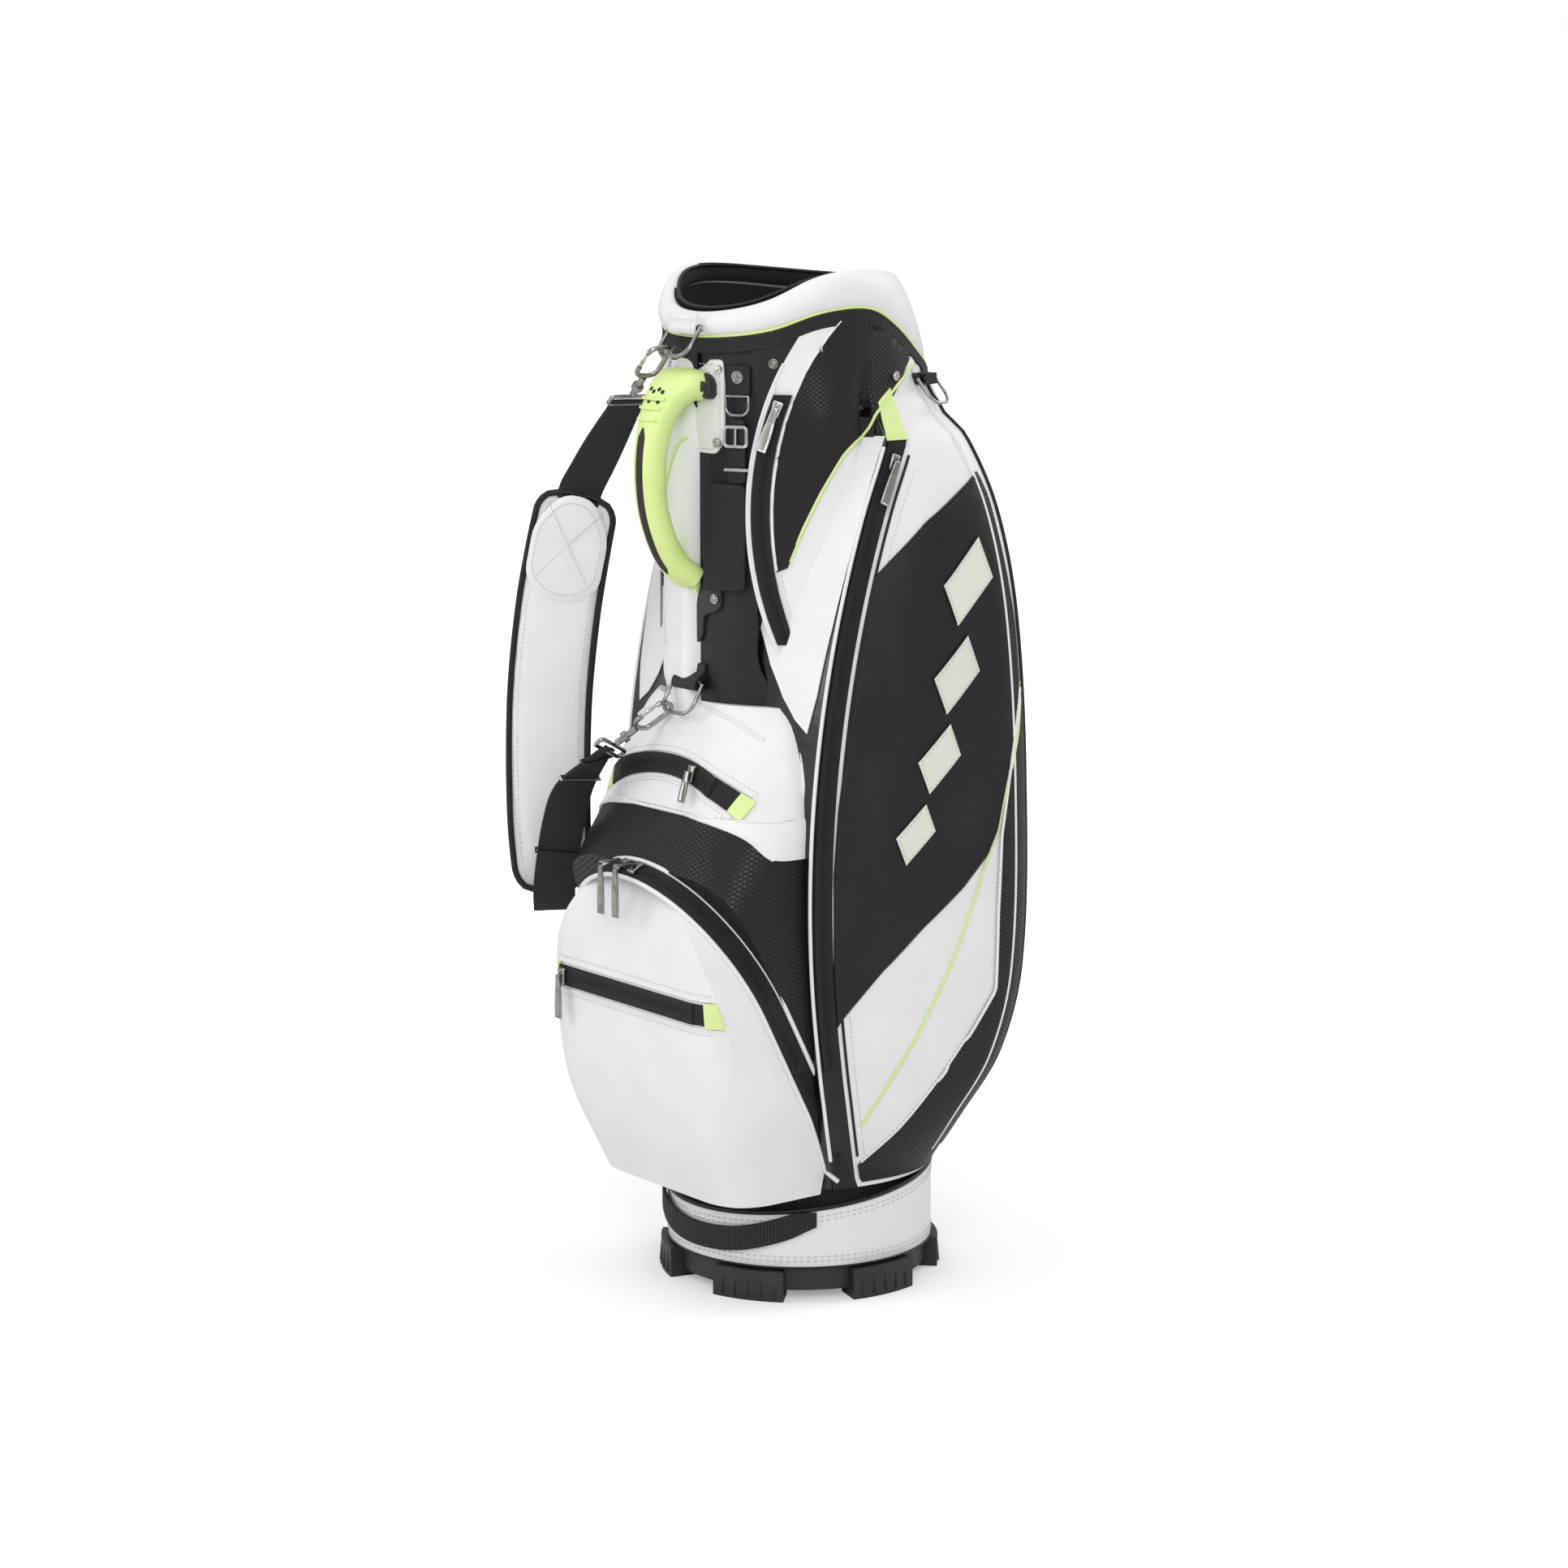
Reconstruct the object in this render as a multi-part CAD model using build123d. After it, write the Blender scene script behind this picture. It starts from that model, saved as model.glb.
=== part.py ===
from build123d import *
import os
from math import asin, atan2, cos, radians, sin, sqrt

# Golf staff bag, millimetres.  +Z is up, -Y is the front (ball pocket and handle), the
# origin is the middle of the base on the ground.

GAP = 0.3                      # between soft goods and their neighbours

# base
BASE_R = 113.5                 # moulded base cup
CUP_WALL = 5.1
CUP_FLOOR_Z = 32.0
CUP_TOP_Z = 80.0
RING_Z = 8.0                   # underside of the base between the feet
PAD_R = 46.0
FOOT_R = 125.0
FOOT_ANGLE = 15.5              # half of the arc that one foot takes up
FOOT_TOP_Z = 27.0
FEET = 6
BAND_T = 4.6                   # leather band round the base
BAND_Z0 = 29.0
BAND_Z1 = 90.0                 # its top edge at the sides
BAND_RISE = 14.0               # how much its top edge rises towards the back

# body tube and top
TUBE_R = 108.0
TUBE_WALL = 2.5
TUBE_TOP_Z = 780.0
COLLAR_LOW_R = 118.0           # collar ring where it starts on the tube
COLLAR_TOP_A = 113.0           # half width and half depth of the mouth
COLLAR_TOP_B = 88.0
COLLAR_TOP_SHIFT = -24.0       # the mouth sits forward of the tube
COLLAR_TOP_Z = 900.0
CUFF_T = 3.0
FRAME_T = 3.2
SKIRT_H = 26.0
WEBBING_H = 15.0
DIVIDER_Z0 = 690.0
DIVIDER_Z1 = 832.0
DIVIDER_T = 4.0
DIVIDER_ROWS = (-40.0, 26.0)   # the two cross walls

# front panel
PANEL_R = 115.0
PANEL_ANGLE = 34.0
PANEL_Z0 = 512.0
PANEL_Z1 = 814.0

# garment pockets
ZIP_X = 136.0                  # flat strip that carries the garment zip
ZIP_ARC_R = 1000.0
ZIP_ARC_Y = -82.0
ZIP_ARC_Z = 360.0
STRIP_HALF = 13.0
GARMENT_ZIP_Z0 = 215.0
GARMENT_ZIP_Z1 = 752.0

# upper pockets, on a flat facet
FACET_ANGLE = atan2(0.6, 0.8)
FACET_D = 118.5
UPPER_Z0 = 540.0
UPPER_Z1 = 796.0
UPPER_U0 = -15.0
UPPER_U1 = 44.0
UPPER_ZIP_R = 270.0
UPPER_ZIP_Z = 690.0

# belly: ball pocket, gusset and upper front pocket
ARCH_R = 125.0
ARCH_TOP = (-175.0, 388.0)     # y and z of the arch's top
ARCH_FOOT = (-22.0, 92.0)
BELLY_CORNER = 30.0
FRONT_POCKET_Z0 = 436.0
FRONT_POCKET_Z1 = 511.0
BALL_ZIP_Z = 276.0
FRONT_ZIP_Z = 472.0            # top of the upper front pocket's arched zip
FRONT_ZIP_R = 186.0
FRONT_ZIP_SPAN = 21.0          # half of the arc that it takes up

# zips
TAPE_T = 2.2
TAPE_W = 18.0
SLIDER_L = 15.0
SLIDER_W = 10.0
SLIDER_T = 5.5
PULL_L = 42.0
PULL_W = 10.0
PULL_T = 2.6

# handle
GRIP_W = 32.0
HANDLE_TOP_Z = 812.0
HANDLE_LOW_Z = 622.0
GRIP_REACH = 172.0             # how far forward the grip stands
PATCH_T = 2.2

# rings, hooks and strap
WIRE = 3.8
RING_W = 46.0
RING_H = 34.0
RING_BOW = 0.42                # corner radius of a ring as a share of its own height
HOOK_T = 4.6
HOOK_BORE = 18.0
HOOK_WALL = 4.0
HOOK_BOW = 36.0                # length of the hook's bow
HOOK_NOSE = 4.1                # how far the bore runs past the ring's wire
GATE_Y = -9.0
GATE_L = 14.2
EYE_H = 13.0
STRAP_T = 3.0
STRAP_W = 38.0
PAD_W = 72.0
PAD_T = 12.0


def cylinder(radius, z0, z1, y=0.0):
    return Pos(0, y, z0) * Cylinder(radius, z1 - z0, align=(Align.CENTER, Align.CENTER, Align.MIN))


def box(x0, x1, y0, y1, z0, z1):
    corner = (Align.MIN, Align.MIN, Align.MIN)
    return Pos(x0, y0, z0) * Box(x1 - x0, y1 - y0, z1 - z0, align=corner)


def sector(radius, half, z0, z1, at=0.0):
    """A wedge of the given half angle about the direction at, measured from the front."""
    pts = [(0, 0)]
    steps = 6
    for k in range(steps + 1):
        a = radians(at - half + 2 * half * k / steps)
        pts.append((2 * radius * sin(a), -2 * radius * cos(a)))
    face = make_face(Polyline(*pts, close=True))
    return Pos(0, 0, z0) * extrude(face, z1 - z0) & cylinder(radius, z0, z1)


def loft_levels(levels):
    faces = [make_face(Polyline(*[(x, y, z) for x, y in pts], close=True)) for z, pts in levels]
    return loft(faces, ruled=True)


def side_prism(points, half=300.0):
    """A prism across the bag from points (y, z) of its side view."""
    face = make_face(Polyline(*[(-half, y, z) for y, z in points], close=True))
    return extrude(face, amount=2 * half, dir=(1, 0, 0))


def facing(angle, radius, z):
    """A plane that faces outward at an angle from the front: x along the wall, y up."""
    out = (sin(angle), -cos(angle), 0)
    return Plane(origin=(radius * out[0], radius * out[1], z), x_dir=(cos(angle), sin(angle), 0), z_dir=out)


def plate(plane, width, height, thick, x=0.0, y=0.0, corner=0.0, lift=0.0):
    """A flat plate on a facing plane, rounded at its corners."""
    outline = RectangleRounded(width, height, corner) if corner else Rectangle(width, height)
    return plane * (Pos(x, y, lift) * extrude(outline, thick))


def mirrored(shape):
    return mirror(shape, about=Plane.YZ)


def single(shape):
    """The one solid of a shape that is a single piece."""
    solids = shape.solids()
    return max(solids, key=lambda s: s.volume)


# ---------------------------------------------------------------- base


def base_moulding():
    cup = cylinder(BASE_R, RING_Z, CUP_TOP_Z) - cylinder(BASE_R - CUP_WALL, CUP_FLOOR_Z, CUP_TOP_Z)
    return cup + cylinder(PAD_R, 0, RING_Z)


def base_feet():
    feet = []
    for k in range(FEET):
        at = 30.0 + k * 360.0 / FEET
        foot = sector(FOOT_R, FOOT_ANGLE, 0, FOOT_TOP_Z, at) - cylinder(FOOT_R - 27, 0, FOOT_TOP_Z)
        foot -= cylinder(BASE_R, RING_Z, FOOT_TOP_Z)
        feet.append(single(foot))
    return Compound(children=feet)


def band_top(y):
    return BAND_Z1 + BAND_RISE * y / BASE_R


def base_band():
    outer = BASE_R + BAND_T
    ring = cylinder(outer, BAND_Z0, CUP_TOP_Z + 40) - cylinder(BASE_R, BAND_Z0, CUP_TOP_Z + 40)
    keep = side_prism([(-150, 0), (150, 0), (150, band_top(150)), (-150, band_top(-150))])
    return ring & keep


def lift_loop():
    """Webbing loop that hangs in front of the base band."""
    inner = BASE_R + BAND_T + GAP
    ring = cylinder(inner + STRAP_T, 30, 90) - cylinder(inner, 30, 90)
    low = [(-96, 74), (-70, 56), (-35, 44), (5, 39), (50, 41), (85, 52), (104, 66)]
    web = 24.0
    top = [(x, z + web) for x, z in reversed(low)]
    face = make_face(Polyline(*[(x, 0, z) for x, z in low + top], close=True))
    keep = extrude(face, amount=200, dir=(0, -1, 0))
    return ring & keep & box(-110, 110, -150, -58, 30, 76)


# ---------------------------------------------------------------- tube and top


def bag_tube():
    return cylinder(TUBE_R, CUP_FLOOR_Z, TUBE_TOP_Z) - cylinder(TUBE_R - TUBE_WALL, CUP_FLOOR_Z, TUBE_TOP_Z)


def collar(inset):
    """The solid inside the collar's outer surface, drawn in by an inset."""
    low = Pos(0, 0, TUBE_TOP_Z) * Circle(COLLAR_LOW_R - inset)
    high = Pos(0, COLLAR_TOP_SHIFT, COLLAR_TOP_Z) * Ellipse(COLLAR_TOP_A - inset, COLLAR_TOP_B - inset)
    return loft([low, high], ruled=True)


RIM = [(-124, 853), (-112, 858), (-92, 868), (-64, 886), (-36, 893), (0, 893), (40, 889), (84, 883)]
CUFF_LOW = [(-124, 837), (-92, 846), (-62, 860), (-32, 865), (-8, 862), (20, 847), (54, 824), (84, 810), (124, 800)]


def under(curve, drop=0.0):
    """Everything below a side-view curve, lowered by a drop."""
    ends = [(curve[-1][0], 700), (curve[0][0], 700)]
    return side_prism([(y, z - drop) for y, z in curve] + ends)


def extended(curve):
    first, last = curve[0], curve[-1]
    return [(-150, first[1])] + curve + [(150, last[1] - 4)]


def top_cuff():
    shell = (collar(0) - collar(CUFF_T)) & under(extended(RIM))
    return single(shell - under(extended(CUFF_LOW)))


def cuff_webbing():
    shell = (collar(-0.6) - collar(CUFF_T)) & under(extended(CUFF_LOW), GAP)
    return single(shell - under(extended(CUFF_LOW), WEBBING_H))


def top_frame():
    """Moulded frame under the cuff, with a skirt that sleeves over the tube."""
    inset = CUFF_T + GAP
    shell = (collar(inset) - collar(inset + FRAME_T)) & under(extended(RIM), 1.0)
    skirt = cylinder(COLLAR_LOW_R - inset, TUBE_TOP_Z - SKIRT_H, TUBE_TOP_Z)
    skirt -= cylinder(TUBE_R + GAP, TUBE_TOP_Z - SKIRT_H, TUBE_TOP_Z)
    return single(shell + skirt + towel_lug())


def frame_room():
    """What the frame and its skirt take up, for the pieces outside it."""
    inset = CUFF_T
    return collar(inset) + cylinder(COLLAR_LOW_R - inset, TUBE_TOP_Z - SKIRT_H - GAP, TUBE_TOP_Z)


def club_divider():
    walls = box(-DIVIDER_T / 2, DIVIDER_T / 2, -130, 130, DIVIDER_Z0, DIVIDER_Z1)
    for y in DIVIDER_ROWS:
        walls += box(-130, 130, y - DIVIDER_T / 2, y + DIVIDER_T / 2, DIVIDER_Z0, DIVIDER_Z1)
    low = walls & cylinder(TUBE_R - TUBE_WALL - GAP, DIVIDER_Z0, TUBE_TOP_Z)
    high = walls & collar(CUFF_T + GAP + FRAME_T + GAP) & box(-130, 130, -130, 130, TUBE_TOP_Z, DIVIDER_Z1)
    return single(low + high)


def front_panel():
    body = sector(PANEL_R, PANEL_ANGLE, PANEL_Z0, PANEL_Z1) - cylinder(TUBE_R + GAP, PANEL_Z0, PANEL_Z1)
    return single(body - frame_room())


# ---------------------------------------------------------------- pockets


def zip_y(z):
    """The garment zip's line on its flat strip, an arc of large radius."""
    return ZIP_ARC_Y + ZIP_ARC_R - sqrt(ZIP_ARC_R**2 - (z - ZIP_ARC_Z)**2)


def garment_level(strip_x, mid_x, back_x, back_y, spine_y, z, front_y=None):
    y = zip_y(z) if front_y is None else front_y
    return (z, [(30, y - STRIP_HALF), (strip_x, y - STRIP_HALF), (strip_x, y + STRIP_HALF),
                (mid_x, 15), (back_x, back_y - 30), (back_x - 26, back_y), (30, spine_y), (30, 40)])


def garment_pocket():
    levels = [
        garment_level(112, 115, 106, 84, 112, 100, -36),
        garment_level(132, 146, 142, 92, 120, 152),
        garment_level(ZIP_X, 158, 164, 118, 128, 210),
        garment_level(ZIP_X, 165, 174, 134, 140, 290),
        garment_level(ZIP_X, 167, 174, 136, 142, 450),
        garment_level(ZIP_X, 162, 170, 128, 136, 600),
        garment_level(ZIP_X, 155, 160, 114, 126, 690),
        garment_level(ZIP_X, 143, 143, 94, 118, 752),
        garment_level(126, 126, 124, 80, 112, TUBE_TOP_Z, -14),
    ]
    body = loft_levels(levels) - cylinder(TUBE_R + GAP, 50, 850) - cylinder(BASE_R + BAND_T + GAP, 50, 108)
    return single(body - frame_room())


def back_spine():
    """The narrow panel down the back, between the two garment pockets."""
    levels = [(108, 112), (152, 120), (210, 128), (290, 140), (450, 142), (600, 136), (690, 126), (752, 118),
              (TUBE_TOP_Z, 112)]
    half = 30.0 - GAP
    face = [(y, z) for z, y in levels] + [(90, TUBE_TOP_Z), (90, 108)]
    body = side_prism(face, half)
    return single(body - cylinder(TUBE_R + GAP, 100, 850) - frame_room())


def upper_pocket(garment):
    plane = facing(FACET_ANGLE, 0, 0)
    pts = [(UPPER_U0, 92), (UPPER_U0, FACET_D), (UPPER_U1, FACET_D), (UPPER_U1 + 22, 106), (UPPER_U1 + 22, 80)]
    out, along = plane.z_dir, plane.x_dir
    corners = [(u * along.X + n * out.X, u * along.Y + n * out.Y) for u, n in pts]
    body = loft_levels([(UPPER_Z0, corners), (UPPER_Z1, corners)])
    body -= cylinder(TUBE_R + GAP, UPPER_Z0, UPPER_Z1)
    body -= sector(PANEL_R + 20, PANEL_ANGLE, UPPER_Z0, UPPER_Z1)
    body -= frame_room()
    return single(body - garment)


# the belly's levels: height, then half its section: side, shoulder and flat front, each x and y
BELLY = ((96, (106, -122), (97, -143), (76, -152)), (180, (126, -152), (117, -173), (96, -182)),
         (280, (130, -158), (121, -181), (100, -190)), (350, (128, -150), (118, -176), (94, -186)),
         (390, (127, -130), (113, -157), (82, -172)), (432, (126, -106), (108, -134), (70, -152)),
         (474, (119, -96), (98, -123), (66, -141)), (512, (98, -88), (80, -108), (46, -122)))


def belly():
    """Everything that stands out at the front below the handle, in one solid."""
    levels = []
    for z, side, shoulder, front in BELLY:
        half = [(side[0], -60), side, shoulder, front]
        levels.append((z, [(-x, y) for x, y in half] + list(reversed(half))))
    body = loft_levels(levels) - cylinder(TUBE_R + GAP, 50, 850)
    return body - cylinder(BASE_R + BAND_T + GAP, 50, 108)


ARCH_UP = Vector(0, ARCH_TOP[0] - ARCH_FOOT[0], ARCH_TOP[1] - ARCH_FOOT[1]).normalized()
ARCH_OUT = Vector(1, 0, 0).cross(ARCH_UP)
ARCH_CENTRE = Vector(0, *ARCH_TOP) - ARCH_UP * ARCH_R


def arch_plane():
    """The plane of the arched zip, which leans forward; y runs up to the arch's top."""
    return Plane(origin=ARCH_CENTRE, x_dir=(1, 0, 0), z_dir=ARCH_OUT)


def arch_prism(radius, n0, n1):
    leg = 240.0
    outline = Circle(radius) + Pos(0, -leg / 2) * Rectangle(2 * radius, leg)
    return arch_plane() * (Pos(0, 0, n0) * extrude(outline, n1 - n0))


def ball_pocket(body, garments):
    cover = body & arch_prism(ARCH_R, GAP, 240)
    cover = cover & box(-200, 200, -260, 0, 90, 420)
    return single(cover - garments)


def pocket_gusset(body, garments):
    rear = body & (arch_plane() * (Pos(0, 0, -200) * Box(500, 900, 400, align=(Align.CENTER,) * 3)))
    rear = rear & box(-200, 200, -260, 0, 90, FRONT_POCKET_Z0 - GAP)
    return single(rear - garments)


def upper_front_pocket(body, garments):
    upper = body & box(-200, 200, -260, 0, FRONT_POCKET_Z0, FRONT_POCKET_Z1)
    return single(upper - garments)


# ---------------------------------------------------------------- zips


def ball_zip():
    return single(arch_prism(ARCH_R + GAP + TAPE_T, 1, 1 + TAPE_W) - arch_prism(ARCH_R + GAP, 0, 2 + TAPE_W)
                  - box(-200, 200, -300, 300, -100, 216))


def garment_zip():
    """Tape and chain down one garment pocket, on the flat strip."""
    pts = []
    steps = 12
    for k in range(steps + 1):
        z = GARMENT_ZIP_Z0 + (GARMENT_ZIP_Z1 - GARMENT_ZIP_Z0) * k / steps
        pts.append((zip_y(z), z))
    outline = [(y - TAPE_W / 2, z) for y, z in pts] + [(y + TAPE_W / 2, z) for y, z in reversed(pts)]
    face = make_face(Polyline(*[(ZIP_X, y, z) for y, z in outline], close=True))
    return extrude(face, amount=TAPE_T, dir=(1, 0, 0))


UPPER_ZIP_CENTRE_U = UPPER_U0 + 13.0 + UPPER_ZIP_R


def upper_zip_u(z):
    return UPPER_ZIP_CENTRE_U - sqrt(UPPER_ZIP_R**2 - (z - UPPER_ZIP_Z)**2)


def upper_zip():
    plane = facing(FACET_ANGLE, FACET_D, 0)
    pts = []
    steps = 10
    z0, z1 = UPPER_Z0 + 40, UPPER_Z1 - 4
    for k in range(steps + 1):
        z = z0 + (z1 - z0) * k / steps
        pts.append((upper_zip_u(z), z))
    half = TAPE_W / 2 - 1
    outline = [(u - half, z) for u, z in pts] + [(u + half, z) for u, z in reversed(pts)]
    face = make_face(Polyline(*[(u, z, 0) for u, z in outline], close=True))
    return plane * extrude(face, TAPE_T)


def belly_front(z):
    """y of the belly's front face at a height."""
    for low, high in zip(BELLY, BELLY[1:]):
        if low[0] <= z <= high[0]:
            return low[3][1] + (high[3][1] - low[3][1]) * (z - low[0]) / (high[0] - low[0])
    return BELLY[0][3][1]


def zip_seat(z):
    """y that clears the belly's front face behind a level zip."""
    low, high = z - TAPE_W / 2, z + TAPE_W / 2
    inside = [level[3][1] for level in BELLY if low <= level[0] <= high]
    return min([belly_front(low), belly_front(high)] + inside) - GAP / 3


def straight_zip(z, half):
    """A level zip that stands just off the belly's sloping front face."""
    y = zip_seat(z)
    return box(-half, half, y - TAPE_T, y, z - TAPE_W / 2, z + TAPE_W / 2)


FRONT_UP = Vector(0, 11, 42).normalized()
FRONT_OUT = Vector(1, 0, 0).cross(FRONT_UP)
FRONT_CENTRE = Vector(0, belly_front(FRONT_ZIP_Z) - GAP, FRONT_ZIP_Z) - FRONT_UP * FRONT_ZIP_R


def front_zip_plane(angle):
    """Plane on the upper front pocket's arched zip, y up the sloping face."""
    a = radians(angle)
    origin = FRONT_CENTRE + (Vector(1, 0, 0) * sin(a) + FRONT_UP * cos(a)) * FRONT_ZIP_R
    return Plane(origin=origin, x_dir=(1, 0, 0), z_dir=FRONT_OUT)


def front_arch_zip():
    outline = Circle(FRONT_ZIP_R + TAPE_W / 2) - Circle(FRONT_ZIP_R - TAPE_W / 2)
    plane = Plane(origin=FRONT_CENTRE, x_dir=(1, 0, 0), z_dir=FRONT_OUT)
    reach = 400 * sin(radians(FRONT_ZIP_SPAN))
    high = 400 * cos(radians(FRONT_ZIP_SPAN))
    wedge = make_face(Polyline((0, 0), (-reach, high), (reach, high), close=True))
    return plane * extrude(outline & wedge, TAPE_T)


def slider(plane):
    """A slider on a plane whose y axis runs along the zip towards its closed end."""
    body = extrude(RectangleRounded(SLIDER_W, SLIDER_L, 3), SLIDER_T)
    return plane * (Pos(0, 0, TAPE_T + GAP) * body)


def pull(plane, length=PULL_L, lift=0.0):
    """A pull that hangs from the slider's top and lies in front of it."""
    z = TAPE_T + GAP + SLIDER_T + GAP
    blade = Pos(0, -length / 2 + 3, z + lift) * extrude(RectangleRounded(PULL_W, length, 3), PULL_T)
    if lift:
        blade += Pos(0, 1, z) * extrude(Rectangle(PULL_W - 4, 4), lift + 1)
    return plane * blade


def garment_zip_plane(z):
    """Plane on the right garment strip at a height, y up along the arc."""
    y = zip_y(z)
    tangent = Vector(0, (z - ZIP_ARC_Z), ZIP_ARC_R + ZIP_ARC_Y - y).normalized()
    x_dir = tangent.cross(Vector(1, 0, 0))
    return Plane(origin=(ZIP_X, y, z), x_dir=x_dir, z_dir=(1, 0, 0))


def upper_zip_plane(z):
    base = facing(FACET_ANGLE, FACET_D, 0)
    u = upper_zip_u(z)
    tangent = base.x_dir * (z - UPPER_ZIP_Z) + base.y_dir * (UPPER_ZIP_CENTRE_U - u)
    tangent = tangent.normalized()
    origin = base.origin + base.x_dir * u + base.y_dir * z
    return Plane(origin=origin, x_dir=tangent.cross(base.z_dir), z_dir=base.z_dir)


def arch_zip_plane(angle):
    """Plane on the arch's zip band, facing away from the arch's centre."""
    a = radians(angle)
    out = Vector(1, 0, 0) * sin(a) + ARCH_UP * cos(a)
    origin = ARCH_CENTRE + out * (ARCH_R + GAP) + ARCH_OUT * (1 + TAPE_W / 2)
    side = Vector(1, 0, 0) * cos(a) - ARCH_UP * sin(a)
    return Plane(origin=origin, x_dir=side * -1, z_dir=out)


def level_zip_plane(x, z):
    return Plane(origin=(x, zip_seat(z), z), x_dir=(1, 0, 0), z_dir=(0, -1, 0))


ARCH_SLIDER_ANGLE = 4.6
GARMENT_SLIDER_Z = 735.0
UPPER_SLIDER_Z = 780.0
BALL_SLIDER_X = -90.0
FRONT_SLIDER_ANGLE = 12.0


def arch_pull(angle):
    """Hangs forward from an arch slider and down over the ball pocket's edge."""
    plane = arch_zip_plane(angle)
    top = plane.origin + plane.z_dir * (TAPE_T + GAP + SLIDER_T + GAP)
    x, y, z = top.X, top.Y, top.Z
    half = PULL_W / 2
    blade = box(x - half, x + half, y - 22.0, y - 19.4, z - 44.0, z + 1.0)
    arm = box(x - half + 2, x + half - 2, y - 19.6, y + 1.0, z + 0.6, z + 2.6)
    lip = box(x - half + 2, x + half - 2, y - 22.0, y - 19.4, z - 1.0, z + 2.6)
    return blade + arm + lip


# ---------------------------------------------------------------- handle


def handle_grip():
    """Moulded carry grip: an arch in side view with two lobes at its top."""
    reach = -GRIP_REACH
    outer = [(-119.5, 812), (-132, 806), (-152, 784), (reach + 4, 750), (reach, 716), (reach + 6, 680),
             (-152, 648), (-134, 628), (-119.5, 622)]
    inner = [(-119.5, 646), (-134, 660), (-146, 690), (-149, 718), (-145, 746), (-134, 768), (-119.5, 784)]
    grip = side_prism(outer + inner, GRIP_W / 2)
    seat = PANEL_R + PATCH_T + 2 * GAP
    face = facing(0, seat - 12, 0)
    lobes = plate(face, 76, 26, 19, 0, HANDLE_TOP_Z - 14, 10)
    heel = plate(face, 44, 22, 19, 0, HANDLE_LOW_Z + 10, 8)
    return single(grip + lobes + heel - cylinder(seat, 500, 900))


def wall_skin(shape, thick, r=PANEL_R + GAP):
    """The part of a shape that lies in a thin shell over the front panel."""
    return single((shape & cylinder(r + thick, 400, 900)) - cylinder(r, 400, 900))


def handle_patch():
    """Stitched leather patch behind the handle's top end."""
    return wall_skin(plate(facing(0, 90, 0), 78, 82, 40, 0, 781, 10), PATCH_T)


def handle_bracket():
    """Three-bolt bracket under the handle's low end."""
    face = facing(0, 90, 0)
    shape = plate(face, 72, 24, 40, 0, 616, 9) + plate(face, 30, 50, 40, 0, 600, 12)
    return wall_skin(shape, PATCH_T)


def handle_screws():
    head = Cylinder(4.5, 2.4, align=(Align.CENTER, Align.CENTER, Align.MIN))
    lobe = facing(0, PANEL_R + PATCH_T + 2 * GAP + 7, 0)
    heads = [lobe * (Pos(x, 798, 0) * head) for x in (-28, 28)]
    for x, z in ((-29, 616), (29, 616), (0, 584), (32, 750), (-30, 750)):
        plane = facing(asin(x / PANEL_R), PANEL_R + PATCH_T + 2 * GAP, z)
        heads.append(plane * head)
    return Compound(children=heads)


# ---------------------------------------------------------------- rings, hooks and strap


def d_ring(plane, width=RING_W, height=RING_H, wire=WIRE):
    """A D ring: its bar lies on the plane's x axis and the bow hangs below."""
    radius = RING_BOW * height
    middle = Pos(0, (wire - height) / 2)
    top = Pos(0, (wire - height / 2) / 2)
    outer = middle * RectangleRounded(width, height, radius) + top * Rectangle(width, height / 2)
    wide, tall = width - 2 * wire, height - 2 * wire
    inner = middle * RectangleRounded(wide, tall, radius - wire)
    inner += Pos(0, (wire - height / 2) / 2 - wire / 2) * Rectangle(wide, height / 2 - wire)
    return plane * (Pos(0, 0, -wire / 2) * extrude(outer - inner, wire))


TOP_RING_AT = (0.0, -123.0, 846.0)
MID_RING_AT = (0.0, -122.4, 541.0)
TOP_RING_TILT = 35.0
MID_RING_TILT = 30.0
TAG_ANGLE = radians(26.0)
NAME_TAG_X = -12.6
TAG_R = PANEL_R + 3.6


def hanging(at, tilt):
    """Plane for a ring that hangs from a point at the front, tipped out at its foot."""
    t = radians(tilt)
    return Plane(origin=at, x_dir=(1, 0, 0), z_dir=(0, -cos(t), sin(t)))


def loop_tab(at, width, height, wall=2.0, bore=6.8):
    """A leather loop that is sewn to the wall and holds a ring's bar."""
    x, y, z = at
    reach = bore / 2 + wall
    outer = box(x - width / 2, x + width / 2, y - reach, -PANEL_R - GAP, z - reach, z + height)
    hole = box(x - width / 2 - 1, x + width / 2 + 1, y - bore / 2, y + bore / 2, z - bore / 2, z + bore / 2)
    return outer - hole


def ring_corner(at, tilt):
    """The middle of the wire at a ring's lower left corner, where a hook pulls."""
    radius = RING_BOW * RING_H
    slack = (radius - WIRE / 2) * cos(radians(45))
    x = -RING_W / 2 + radius - slack
    y = WIRE / 2 - RING_H + radius - slack
    point = hanging(at, tilt)
    return point.origin + point.x_dir * x + point.y_dir * y


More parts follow.
